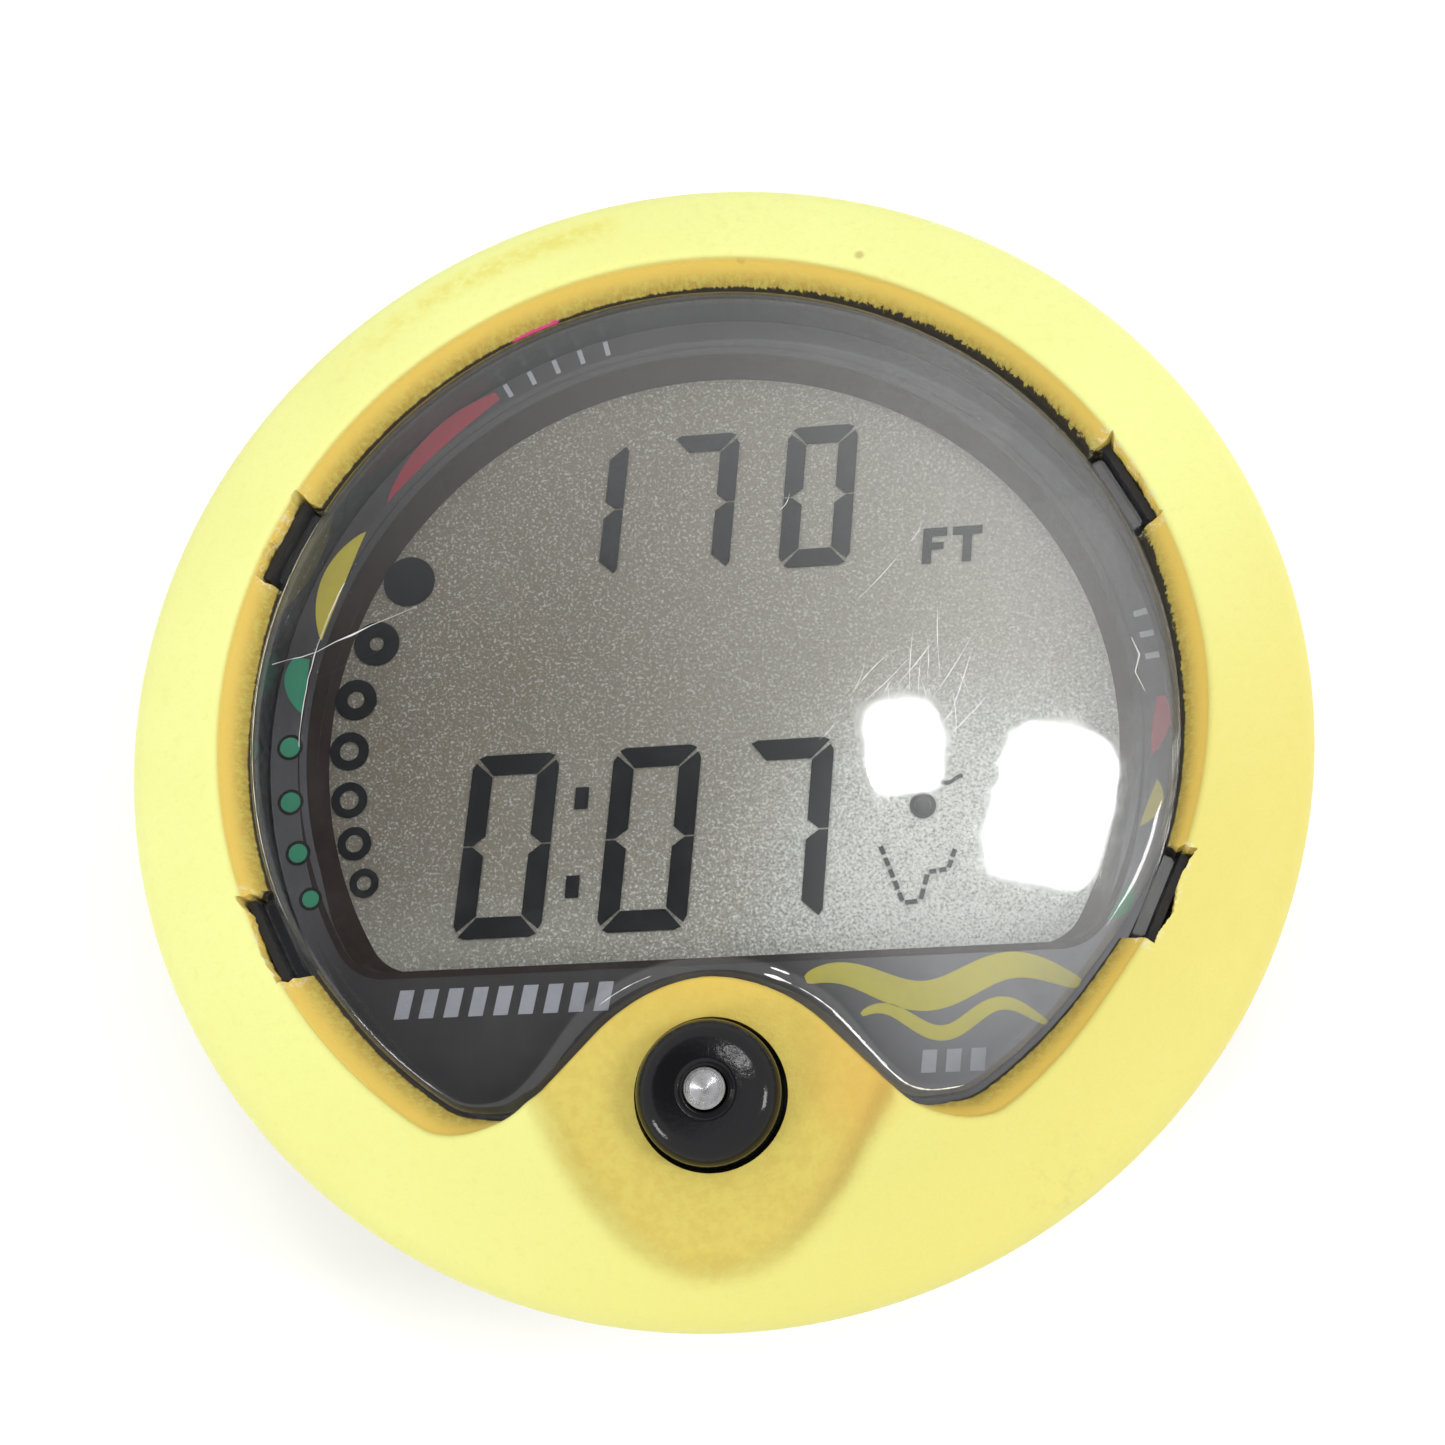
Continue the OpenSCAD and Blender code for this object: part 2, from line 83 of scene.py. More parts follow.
# The window outline: a circle with a round hump cut into its foot
HUMP_Y = 27.8
HUMP_R = 10.2
LOBE_R = 4.5
WALL_TOP_R = LENS_R + 1.8
NOTCH_ANGLES = [26, 154, 206, 334]
NOTCH_W = 6.4

# The display window: a circle with a flat foot, wider at the mask than at the display
VIEW_R = 26.5
VIEW_FLAT = 14.75
VIEW_CORNER = 3.2
MASK_R = 27.8

# The thumb dish: a hollow whose edge is a power curve about the button
DISH_FOOT = -35.4
DISH_RISE = 10.4
DISH_REACH = 11.1
DISH_POWER = 2.25
DISH_DEPTH = 0.95


# ---------------------------------------------------------------- outlines
def arc(cx, cy, r, a0, a1, n, outward=1):
    """Points and outward normals along an arc, its last point left out."""
    rows = []
    for i in range(n):
        a = math.radians(a0 + (a1 - a0) * i / n)
        c, s = math.cos(a), math.sin(a)
        rows.append((cx + r * c, cy + r * s, outward * c, outward * s))
    return rows


def line(p, q, n, normal):
    """Points from p to q with one normal, the last point left out."""
    return [(p[0] + (q[0] - p[0]) * i / n, p[1] + (q[1] - p[1]) * i / n, *normal) for i in range(n)]


def window_outline(r, hump, lobe):
    """Points x, y and normals of the window outline; the normals point away from the window."""
    half = math.sqrt(0.5)
    s = (hump + lobe) / half - HUMP_Y
    lx = (s + math.sqrt(2 * (r - lobe) ** 2 - s * s)) / 2
    ly = s - lx
    a = math.degrees(math.atan2(ly, lx))
    lobe_end = (lx - lobe * half, ly - lobe * half)
    hump_end = (hump * half, hump * half - HUMP_Y)
    rows = arc(0, 0, r, a, 180 - a, 300)
    rows += arc(-lx, ly, lobe, 180 - a, 315, 36)
    rows += line((-lobe_end[0], lobe_end[1]), (-hump_end[0], hump_end[1]), 12, (half, -half))
    rows += arc(0, -HUMP_Y, hump, 135, 45, 60, -1)
    rows += line(hump_end, lobe_end, 12, (-half, -half))
    rows += arc(lx, ly, lobe, 225, 360 + a, 36)
    return np.array(rows)


def view_outline(r, flat, corner):
    """Points and outward normals of the display window."""
    y = corner - flat
    x = math.sqrt((r - corner) ** 2 - y * y)
    a = math.degrees(math.atan2(y, x))
    rows = arc(0, 0, r, a, 180 - a, 240)
    rows += arc(-x, y, corner, 180 - a, 270, 24)
    rows += line((-x, -flat), (x, -flat), 40, (0, -1))
    rows += arc(x, y, corner, 270, 360 + a, 24)
    return np.array(rows)


def polar(r, degrees):
    a = math.radians(degrees)
    return (r * math.cos(a), r * math.sin(a))


def circle_points(cx, cy, r, steps=40):
    turns = [2 * math.pi * i / steps for i in range(steps)]
    return [(cx + r * math.cos(a), cy + r * math.sin(a)) for a in turns]


def moved_loop(outline, out, z):
    """An outline moved outwards, by one distance or one per point, at one height or one per point."""
    out, z = np.broadcast_to(out, len(outline)), np.broadcast_to(z, len(outline))
    return [(x + nx * o, y + ny * o, h) for (x, y, nx, ny), o, h in zip(outline, out, z)]


def smooth(t):
    t = np.clip(t, 0, 1)
    return t * t * (3 - 2 * t)


# ---------------------------------------------------------------- mesh helpers
def new_object(name, bm, material, sharp=40):
    """An object from a bmesh in millimetres, smooth but for edges sharper than an angle."""
    bmesh.ops.scale(bm, vec=(MM, MM, MM), verts=bm.verts)
    bmesh.ops.recalc_face_normals(bm, faces=bm.faces)
    mesh = bpy.data.meshes.new(name)
    bm.to_mesh(mesh)
    bm.free()
    mesh.shade_smooth()
    mesh.set_sharp_from_angle(angle=math.radians(sharp))
    obj = bpy.data.objects.new(name, mesh)
    bpy.context.scene.collection.objects.link(obj)
    obj.data.materials.append(material)
    return obj


def piece(name, bm, material, body, sharp=40):
    obj = new_object(name, bm, material, sharp)
    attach(obj, body)
    return obj


def add_loops(bm, loops, closed=False):
    """Skins a list of loops of equal length with quads; closed joins the last to the first."""
    rings = [[bm.verts.new(p) for p in loop] for loop in loops]
    n = len(rings[0])
    pairs = list(zip(rings, rings[1:]))
    if closed:
        pairs.append((rings[-1], rings[0]))
    for a, b in pairs:
        for i in range(n):
            j = (i + 1) % n
            bm.faces.new((a[i], a[j], b[j], b[i]))
    return rings


def add_revolve(bm, profile, steps=128, centre=(0, 0)):
    """Revolves (r, z) points about an upright axis; points on the axis close it."""
    rings = []
    for r, z in profile:
        if r < 1e-6:
            rings.append([bm.verts.new((centre[0], centre[1], z))])
            continue
        rings.append([bm.verts.new((x, y, z)) for x, y in circle_points(*centre, r, steps)])
    for a, b in zip(rings, rings[1:]):
        for i in range(steps):
            j = (i + 1) % steps
            corners = [a[i % len(a)], a[j % len(a)], b[j % len(b)], b[i % len(b)]]
            corners = list(dict.fromkeys(corners))
            if len(corners) > 2:
                bm.faces.new(corners)


def add_plate(bm, points, z0, z1):
    """A flat closed plate over a simple outline."""
    low = [bm.verts.new((x, y, z0)) for x, y in points]
    high = [bm.verts.new((x, y, z1)) for x, y in points]
    bm.faces.new(high)
    bm.faces.new(list(reversed(low)))
    for i in range(len(points)):
        j = (i + 1) % len(points)
        bm.faces.new((low[i], low[j], high[j], high[i]))


def add_ring_plate(bm, cx, cy, r_out, r_in, z0, z1, steps=48):
    """A flat closed ring."""
    corners = ((r_in, z0), (r_out, z0), (r_out, z1), (r_in, z1))
    loops = [[(x, y, z) for x, y in circle_points(cx, cy, r, steps)] for r, z in corners]
    add_loops(bm, loops, closed=True)


def ribbon_points(path, widths):
    """Outline of a stroke of varying width along a path."""
    left, right = [], []
    for i, (x, y) in enumerate(path):
        x0, y0 = path[max(i - 1, 0)]
        x1, y1 = path[min(i + 1, len(path) - 1)]
        length = math.hypot(x1 - x0, y1 - y0)
        nx, ny = -(y1 - y0) / length, (x1 - x0) / length
        w = widths[i] / 2
        left.append((x + nx * w, y + ny * w))
        right.append((x - nx * w, y - ny * w))
    return left + right[::-1]


def cut(obj, cutter):
    """Cuts one object with another and applies it."""
    modifier = obj.modifiers.new("cut", "BOOLEAN")
    modifier.operation = "DIFFERENCE"
    modifier.solver = "EXACT"
    modifier.object = cutter
    bpy.context.view_layer.update()
    depsgraph = bpy.context.evaluated_depsgraph_get()
    mesh = bpy.data.meshes.new_from_object(obj.evaluated_get(depsgraph))
    obj.modifiers.clear()
    old = obj.data
    obj.data = mesh
    bpy.data.meshes.remove(old)
    bpy.data.objects.remove(cutter)


# ---------------------------------------------------------------- materials
class Tree:
    """Small helper that builds shader nodes; place is where its textures are looked up."""

    def __init__(self, tree, place=None):
        self.tree, self.place = tree, place

    def new(self, kind, **settings):
        node = self.tree.nodes.new("ShaderNode" + kind)
        for key, value in settings.items():
            setattr(node, key, value)
        return node

    def link(self, a, b):
        self.tree.links.new(a, b)

    def put(self, socket, value):
        if isinstance(value, bpy.types.NodeSocket):
            self.link(value, socket)
        elif hasattr(value, "__len__") and len(value) == 3 and socket.type == "RGBA":
            socket.default_value = (*value, 1)
        else:
            socket.default_value = value

    def math(self, operation, *values):
        node = self.new("Math", operation=operation)
        for socket, value in zip(node.inputs, (*values, 0.0, 0.0)):
            self.put(socket, value)
        return node.outputs[0]

    def times(self, first, *others):
        for value in others:
            first = self.math("MULTIPLY", first, value)
        return first

    def linear(self, value, gain, offset):
        """value * gain + offset"""
        return self.math("MULTIPLY_ADD", value, gain, offset)

    def vector(self, operation, a, b=(0, 0, 0)):
        node = self.new("VectorMath", operation=operation)
        self.put(node.inputs[0], a)
        self.put(node.inputs[1], b)
        return node.outputs["Value" if operation in ("LENGTH", "DISTANCE") else "Vector"]

    def distance(self, point):
        return self.vector("DISTANCE", self.place, point)

    def stretched(self, x, y, z):
        return self.vector("MULTIPLY", self.place, (x, y, z))

    def mapped(self, vector, scale, location=(0, 0, 0)):
        node = self.new("Mapping")
        for key, value in (("Vector", vector), ("Scale", scale), ("Location", location)):
            self.put(node.inputs[key], value)
        return node.outputs["Vector"]

    def axis(self, name):
        node = self.new("SeparateXYZ")
        self.link(self.place, node.inputs[0])
        return node.outputs[name]

    def noise(self, scale, detail=4, roughness=0.55, vector=None):
        node = self.new("TexNoise")
        self.link(vector or self.place, node.inputs["Vector"])
        for key, value in (("Scale", scale), ("Detail", detail), ("Roughness", roughness)):
            node.inputs[key].default_value = value
        return node.outputs["Fac"]

    def cells(self, scale, feature="F1"):
        """Distance to the nearest point or edge of scattered cells."""
        node = self.new("TexVoronoi", feature=feature)
        self.link(self.place, node.inputs["Vector"])
        node.inputs["Scale"].default_value = scale
        return node.outputs["Distance"]

    def span(self, value, low, high, out_low=0.0, out_high=1.0):
        """Maps low..high to out_low..out_high with soft ends."""
        node = self.new("MapRange", interpolation_type="SMOOTHSTEP")
        self.put(node.inputs["Value"], value)
        for key, number in zip(("From Min", "From Max", "To Min", "To Max"), (low, high, out_low, out_high)):
            node.inputs[key].default_value = number
        return node.outputs["Result"]

    def mix(self, factor, a, b):
        """Mixes two colours."""
        node = self.new("Mix", data_type="RGBA")
        self.put(node.inputs["Factor"], factor)
        self.put(node.inputs[6], a)
        self.put(node.inputs[7], b)
        return node.outputs[2]

    def mix_shader(self, factor, a, b):
        node = self.new("MixShader")
        for socket, value in zip(node.inputs, (factor, a, b)):
            self.link(value, socket)
        return node.outputs[0]


class Nodes(Tree):
    """The node tree of a new material on a Principled shader, in object coordinates in mm."""

    def __init__(self, name):
        self.material = bpy.data.materials.new(name)
        self.material.use_nodes = True
        super().__init__(self.material.node_tree)
        self.shader = self.tree.nodes["Principled BSDF"]
        self.out = self.tree.nodes["Material Output"]
        self.place = self.mapped(self.new("TexCoord").outputs["Object"], (1 / MM, 1 / MM, 1 / MM))

    def bump(self, height, depth_mm):
        node = self.new("Bump")
        node.inputs["Strength"].default_value = 1.0
        node.inputs["Distance"].default_value = depth_mm * MM
        self.link(height, node.inputs["Height"])
        self.link(node.outputs["Normal"], self.shader.inputs["Normal"])

    def set(self, **values):
        for key, value in values.items():
            self.put(self.shader.inputs[key.replace("_", " ")], value)


def yellow_rubber():
    """Soft yellow elastomer: painted shade makes it more orange and darker towards the lower right and the
    bottom; darker round the button, partly stain and partly painted shadow; ochre down the inner wall, partly
    dirt and partly painted shade.
    """
    n = Nodes("yellow_rubber")
    x, y, z = n.axis("X"), n.axis("Y"), n.axis("Z")
    aside = n.math("ABSOLUTE", x)
    radius = n.vector("LENGTH", n.stretched(1, 1, 0))
    fine = n.noise(1.6, 6, 0.6)
    tone = n.mix(n.span(n.noise(0.05, 3), 0.35, 0.7), (0.640, 0.665, 0.245), (0.630, 0.640, 0.225))
    # painted shade: more orange and darker towards the lower right, and darker towards the bottom
    painted_shade_slope = n.span(n.math("SUBTRACT", x, y), 8, 50)
    tone = n.mix(painted_shade_slope, tone, (0.575, 0.500, 0.130))
    tone = n.mix(n.span(y, -8, -30, 0, 0.5), tone, (0.575, 0.560, 0.165))
    # darker, more orange tone over the hump and the thumb dish: partly handling stain, partly a painted
    # shadow of the camera and its holder; painted shade is deepest along the foot of the dish's wall
    across = n.math("POWER", n.math("DIVIDE", aside, DISH_REACH), DISH_POWER)
    inside = n.math("SUBTRACT", y, n.linear(across, DISH_RISE, DISH_FOOT))
    inside = n.math("DIVIDE", inside, n.linear(aside, 0.19, 1.0))
    inside = n.math("ADD", inside, n.times(n.math("SUBTRACT", n.noise(0.3, 5, 0.65), 0.5), 0.9))
    stain = n.mix(n.span(fine, 0.35, 0.7), (0.515, 0.428, 0.092), (0.480, 0.375, 0.078))
    low = n.span(y, -11, -15)
    tone = n.mix(n.times(n.span(inside, -0.4, 1.4), low), tone, stain)
    dish_wall_shade = n.times(n.span(inside, 0.1, 0.7), n.span(inside, 1.9, 0.9))
    # rubbed here is painted shade along the foot of the dish's wall, stronger at the right
    rubbed = n.times(dish_wall_shade, n.span(x, 2, 9, 0.04, 0.5))
    tone = n.mix(n.times(rubbed, low), tone, (0.47, 0.31, 0.075))
    orange = n.times(n.span(x, 3, 9), n.span(n.distance((8, -22.5, 26)), 6, 2))
    tone = n.mix(n.times(orange, 0.55), tone, (0.54, 0.32, 0.06))
    tone = n.mix(n.span(fine, 0.5, 0.8, 0, 0.16), tone, (0.52, 0.42, 0.10))
    # inner wall tinted ochre, partly dirt and partly painted shade, with more painted shade towards its foot
    inner = n.times(n.span(radius, 32.05, 31.5), n.span(z, 26.98, 26.45))
    front = n.math("MAXIMUM", n.span(y, -24, -14), n.span(aside, 11.5, 14))
    wall = n.times(inner, front)
    wall_dirt_and_shade = n.mix(n.span(z, 26.7, 24.6), (0.60, 0.41, 0.070), (0.44, 0.28, 0.045))
    hairs = n.noise(2.4, 7, 0.75, n.stretched(1, 1, 0.3))
    wall_dirt_and_shade = n.mix(n.times(n.span(hairs, 0.4, 0.65), n.span(z, 26.2, 25.2)), wall_dirt_and_shade, (0.55, 0.47, 0.10))
    tone = n.mix(n.times(wall, 0.92), tone, wall_dirt_and_shade)
    # black along the foot of the wall, partly dark fluff and partly painted shade in the crease against the
    # guard, with torn fluff over it at the upper right
    upper = n.times(n.span(n.linear(y, 0.4, x), 6, 30), n.span(y, -4, 8))
    fluff = n.times(n.math("SUBTRACT", hairs, 0.5), n.linear(upper, 1.9, 0.4))
    level = n.math("ADD", n.math("ADD", z, fluff), n.times(upper, -0.22))
    fluff_and_crease_shade = n.times(n.span(level, 24.82, 24.68), n.span(radius, 31.3, 30.9), front)
    tone = n.mix(n.times(fluff_and_crease_shade, 0.97), tone, (0.022, 0.020, 0.018))
    # cream torn edges of the notches
    torn = n.times(n.span(n.noise(1.9, 5, 0.7), 0.52, 0.6), n.span(radius, 31.8, 31.5))
    for a in NOTCH_ANGLES:
        near = n.span(n.distance((*polar(31.3, a), 26)), NOTCH_W / 2 + 0.9, NOTCH_W / 2 + 0.3)
        tone = n.mix(n.times(torn, near, 0.8), tone, (0.62, 0.56, 0.33))
    # a trace of pink ink along the foot of the wall at the upper left
    along = n.math("ABSOLUTE", n.math("ADD", n.times(x, 0.927), n.linear(y, 0.375, -0.3)))
    ink = n.times(n.span(along, 1.9, 1.5), n.times(n.span(y, 20, 24), n.span(radius, 32, 31)))
    ink = n.times(ink, n.span(n.linear(hairs, 1.2, z), 25.44, 25.34), n.span(z, 24.52, 24.6))
    tone = n.mix(n.times(ink, 0.9), tone, (0.80, 0.08, 0.26))
    # yellow-green rub mark along the upper left of the face, a few smudges and specks
    band = n.span(n.math("ABSOLUTE", n.math("SUBTRACT", radius, 35.2)), 1.5, 0.2)
    band = n.times(band, n.times(n.span(x, -27, -16), n.span(x, -4, -7)), n.span(y, 10, 18))
    band = n.times(band, n.span(n.noise(0.9, 6, 0.65), 0.3, 0.65))
    tone = n.mix(n.times(band, 0.75), tone, (0.58, 0.52, 0.10))
    smudges = (((-24, 27, 26.5), 7.0, 0.10), ((2, 34.5, 26.5), 5.0, 0.12), ((21, -30.5, 26.5), 5.0, 0.2))
    for place, size, amount in smudges:
        patch = n.times(n.span(n.distance(place), size, size * 0.2), n.span(n.noise(1.1, 7, 0.7), 0.48, 0.72))
        tone = n.mix(n.times(patch, amount), tone, (0.30, 0.25, 0.07))
    dot = n.span(n.cells(0.2), 0.09, 0.03)
    sparse = n.span(n.noise(0.35, 2), 0.56, 0.62)
    tone = n.mix(n.times(dot, sparse, 0.55), tone, (0.30, 0.22, 0.06))
    n.set(Base_Color=tone, Roughness=n.span(n.noise(0.7, 5), 0.3, 0.7, 0.50, 0.66), Specular_IOR_Level=0.3)
    n.set(Subsurface_Weight=0.05, Subsurface_Radius=(0.0015, 0.0012, 0.0004), Subsurface_Scale=1.0)
    grain = n.math("ADD", n.times(n.noise(5, 4), 0.6), n.noise(0.8, 3))
    crumbs = n.times(hairs, n.times(wall, n.span(z, 26.3, 25.0, 0, 5)))
    n.bump(n.math("ADD", grain, crumbs), 0.06)
    return n.material


def textured_plastic(name, colour, light, roughness=0.42, grain=7.0, depth=0.03):
    """Moulded plastic with a spark-eroded texture and slightly worn, paler high spots."""
    n = Nodes(name)
    worn = n.span(n.noise(0.35, 6, 0.65), 0.52, 0.78)
    tone = n.mix(n.times(worn, 0.5), colour, light)
    dust = n.span(n.noise(3.2, 6, 0.7), 0.6, 0.8, 0, 0.35)
    tone = n.mix(dust, tone, light)
    gloss = n.span(n.noise(1.2, 4), 0.3, 0.7, roughness - 0.08, roughness + 0.12)
    n.set(Base_Color=tone, Roughness=gloss, Specular_IOR_Level=0.3)
    n.bump(n.noise(grain, 3), depth)
    return n.material


def gloss_black():
    """Polished black plastic with hairline scratches and a little dust."""
    n = Nodes("gloss_black")
    dust = n.span(n.noise(4, 8, 0.75), 0.62, 0.8, 0, 0.25)
    tone = n.mix(dust, (0.006, 0.006, 0.007), (0.05, 0.05, 0.048))
    hair = n.noise(1.0, 3, vector=n.stretched(14, 0.8, 1))
    n.set(Base_Color=tone, Roughness=n.span(hair, 0.35, 0.75, 0.07, 0.16), Specular_IOR_Level=0.22)
    n.bump(n.noise(2.5, 4), 0.012)
    return n.material


def turned_steel():
    """Turned stainless steel: rings from the tool about the button's axis, with a spoked sheen."""
    n = Nodes("steel")
    centred = n.vector("SUBTRACT", n.place, (0, BUTTON_Y, 0))
    away = n.vector("LENGTH", n.vector("MULTIPLY", centred, (1, 1, 0)))
    rings = n.math("SINE", n.times(away, 60))
    stain = n.noise(1.5, 6, 0.7)
    tone = n.mix(n.span(stain, 0.45, 0.75), (0.33, 0.33, 0.34), (0.20, 0.19, 0.18))
    n.set(Base_Color=tone, Roughness=n.span(stain, 0.3, 0.7, 0.18, 0.30), Metallic=1.0, Anisotropic=0.75)
    n.set(Tangent=n.new("Tangent", direction_type="RADIAL", axis="Z").outputs[0])
    n.bump(rings, 0.004)
    return n.material


def metal(name, colour, tarnish, roughness):
    n = Nodes(name)
    spots = n.noise(0.9, 7, 0.7)
    brushed = n.noise(1.0, 2, vector=n.stretched(1, 22, 22))
    tone = n.mix(n.span(spots, 0.5, 0.75, 0, 0.6), colour, tarnish)
    gloss = n.span(brushed, 0.3, 0.7, roughness - 0.08, roughness + 0.1)
    n.set(Base_Color=tone, Roughness=gloss, Metallic=1.0)
    n.bump(brushed, 0.01)
    return n.material


def clear_plastic(name, tint, haze, rubbed=0.0):
    """Clear polished plastic: light goes straight through, with gloss, and haze where it is rubbed; round the
    lower right and towards the right side that haze is partly painted glare.
    """
    n = Nodes(name)
    x, y = n.axis("X"), n.axis("Y")
    through = n.new("BsdfTransparent")
    n.put(through.inputs["Color"], n.mix(n.noise(0.08, 3), tint, tuple(c * 0.985 for c in tint)))
    facing = n.new("LayerWeight")
    facing.inputs["Blend"].default_value = 0.5
    mirror = n.linear(n.math("POWER", facing.outputs["Facing"], 5), 0.9, 0.045)
    gloss = n.new("BsdfPrincipled")
    gloss.inputs["Base Color"].default_value = (0.97, 0.97, 0.97, 1)
    gloss.inputs["Metallic"].default_value = 1.0
    n.link(n.span(n.noise(0.5, 5), 0.35, 0.75, 0.015, 0.06), gloss.inputs["Roughness"])
    clear = n.mix_shader(mirror, through.outputs[0], gloss.outputs[0])
    smear = n.span(n.noise(0.16, 7, 0.7), 0.48, 0.85, 0, haze)
    foggy = n.span(n.noise(0.9, 6, 0.65), 0.3, 0.7, 0.75, 1.15)
    # rubbed sets a haze round the lower right and towards the right side: partly rubbed plastic, partly
    # painted glare
    rubbed_haze_and_glare = n.span(n.distance((17, -13, 26)), 15, 3, 0, rubbed)
    side = n.span(n.linear(y, 0.35, x), 6, 30, 0, rubbed * 0.9)
    smear = n.math("ADD", smear, n.times(n.math("ADD", rubbed_haze_and_glare, side), foggy))
    surface = n.mix_shader(smear, clear, n.shader.outputs[0])
    n.link(surface, n.out.inputs["Surface"])
    n.set(Base_Color=(0.66, 0.66, 0.65), Roughness=0.55)
    return n.material


def display_surface():
    """Grey-green reflective display with the fine sparkle of its diffuser; painted light makes it lighter
    towards the lower right and the bottom, with a painted pool of light near the lower right.
    """
    n = Nodes("display_surface")
    x, y = n.axis("X"), n.axis("Y")
    sparkle = n.noise(5.2, 3, 0.75)
    coarse = n.noise(2.4, 3, 0.6)
    # painted light: lighter towards the lower right and towards the bottom
    painted_light_slope = n.linear(y, -0.6, x)
    tone = n.mix(n.span(painted_light_slope, -24, 32), (0.232, 0.203, 0.160), (0.56, 0.53, 0.47))
    tone = n.mix(n.span(y, -7, -15, 0, 0.5), tone, (0.50, 0.49, 0.44))
    tone = n.mix(n.span(coarse, 0.35, 0.7, 0, 0.15), tone, (0.26, 0.25, 0.20))
    # painted pool of light near the lower right; the sparkle's flecks are stronger there and towards the
    # bottom
    near = n.span(n.distance((16, -11, 19)), 19, 4)
    low = n.span(n.linear(x, -0.5, y), 2, -20)
    tone = n.mix(n.times(near, 0.8), tone, (0.80, 0.80, 0.77))
    strength = n.linear(n.math("MAXIMUM", near, low), 0.55, 0.38)
    flecks = n.linear(near, 0.06, sparkle)
    tone = n.mix(n.times(n.span(flecks, 0.54, 0.62), strength), tone, (1.0, 1.0, 0.96))
    tone = n.mix(n.times(n.span(sparkle, 0.46, 0.34, 0, 0.7), strength), tone, (0.11, 0.10, 0.08))
    n.set(Base_Color=tone, Roughness=n.span(coarse, 0.3, 0.7, 0.42, 0.55), Metallic=0.2)
    n.bump(sparkle, 0.015)
    return n.material


def printed(name, colour, worn, roughness=0.5, shine=0.3, painted_glare_tone=None):
    """Screen-printed ink with a faint grain and rubbed patches; if asked, painted glare makes it paler at the
    lower right and a little at the left.
    """
    n = Nodes(name)
    grain = n.noise(6, 4)
    rubbed = n.span(n.noise(0.4, 5, 0.6), 0.45, 0.75, 0, 0.5)
    tone = n.mix(rubbed, colour, worn)
    tone = n.mix(n.span(grain, 0.45, 0.7, 0, 0.18), tone, worn)
    if painted_glare_tone:
        # painted glare: paler round the lower right and a little at the left
        tone = n.mix(n.span(n.distance((21, -17, 21)), 17, 6), tone, painted_glare_tone)
        tone = n.mix(n.span(n.distance((-30, -5, 21)), 13, 4, 0, 0.35), tone, painted_glare_tone)
    gloss = n.span(grain, 0.3, 0.7, roughness - 0.1, roughness + 0.1)
    n.set(Base_Color=tone, Roughness=gloss, Specular_IOR_Level=shine)
    n.bump(grain, 0.006)
    return n.material


def board_green():
    n = Nodes("green_board")
    tracks = n.cells(0.5, "DISTANCE_TO_EDGE")
    tone = n.mix(n.span(tracks, 0.05, 0.02), (0.012, 0.10, 0.04), (0.03, 0.2, 0.08))
    n.set(Base_Color=tone, Roughness=n.span(n.noise(2, 4), 0.3, 0.7, 0.25, 0.4))
    n.bump(tracks, 0.02)
    return n.material


def zebra_rubber():
    n = Nodes("zebra_rubber")
    stripes = n.math("SINE", n.times(n.axis("X"), 40))
    tone = n.mix(n.span(stripes, -0.2, 0.2), (0.6, 0.35, 0.33), (0.05, 0.04, 0.04))
    n.set(Base_Color=tone, Roughness=n.span(n.noise(2, 3), 0.3, 0.7, 0.5, 0.7))
    return n.material


YELLOW = yellow_rubber()
GLOSS = gloss_black()
GUARD = clear_plastic("clear_guard", (0.955, 0.96, 0.96), 0.025, 0.06)
DISPLAY = display_surface()
MASK = printed("printed_mask", (0.054, 0.050, 0.054), (0.067, 0.063, 0.066), painted_glare_tone=(0.20, 0.195, 0.22))
INK = printed("display_ink", (0.016, 0.017, 0.020), (0.026, 0.026, 0.029), 0.5, 0.15)
PLASTICS = {
    "black_case": ((0.016, 0.016, 0.018), (0.042, 0.042, 0.043)),
    "hatch_plastic": ((0.035, 0.036, 0.042), (0.09, 0.09, 0.095), 0.5, 4.0),
    "display_frame": ((0.028, 0.017, 0.015), (0.05, 0.036, 0.032), 0.55, 3.0, 0.01),
    "black_rubber": ((0.02, 0.02, 0.02), (0.05, 0.05, 0.05), 0.6),
    "black_chip": ((0.02, 0.02, 0.022), (0.06, 0.06, 0.06), 0.5),
    "red_rubber": ((0.25, 0.03, 0.02), (0.35, 0.08, 0.06), 0.5),
    "red_plastic": ((0.5, 0.05, 0.03), (0.6, 0.12, 0.08), 0.4),
}
METALS = {
    "brass": ((0.72, 0.53, 0.24), (0.40, 0.27, 0.12), 0.3),
    "gold_contact": ((0.83, 0.63, 0.30), (0.5, 0.36, 0.16), 0.26),
    "reflector": ((0.6, 0.6, 0.55), (0.45, 0.45, 0.4), 0.3),
}
MATERIALS = {name: textured_plastic(name, *look) for name, look in PLASTICS.items()}
MATERIALS.update({name: metal(name, *look) for name, look in METALS.items()})
MATERIALS.update({
    "yellow_rubber": YELLOW,
    "clear_lens": clear_plastic("clear_lens", (0.97, 0.975, 0.975), 0.01),
    "clear_guard": GUARD,
    "printed_mask": MASK,
    "display_cell": DISPLAY,
    "display_film": DISPLAY,
    "contact_rubber": zebra_rubber(),
    "green_board": board_green(),
    "steel": turned_steel(),
    "gloss_black": GLOSS,
})
FRAME_DARK = MATERIALS["display_frame"]
for row in frame["record"]["subparts"]:
    node = frame["nodes"][row["node"]]
    node.data.materials.clear()
    node.data.materials.append(MATERIALS[row["material_slot"]])


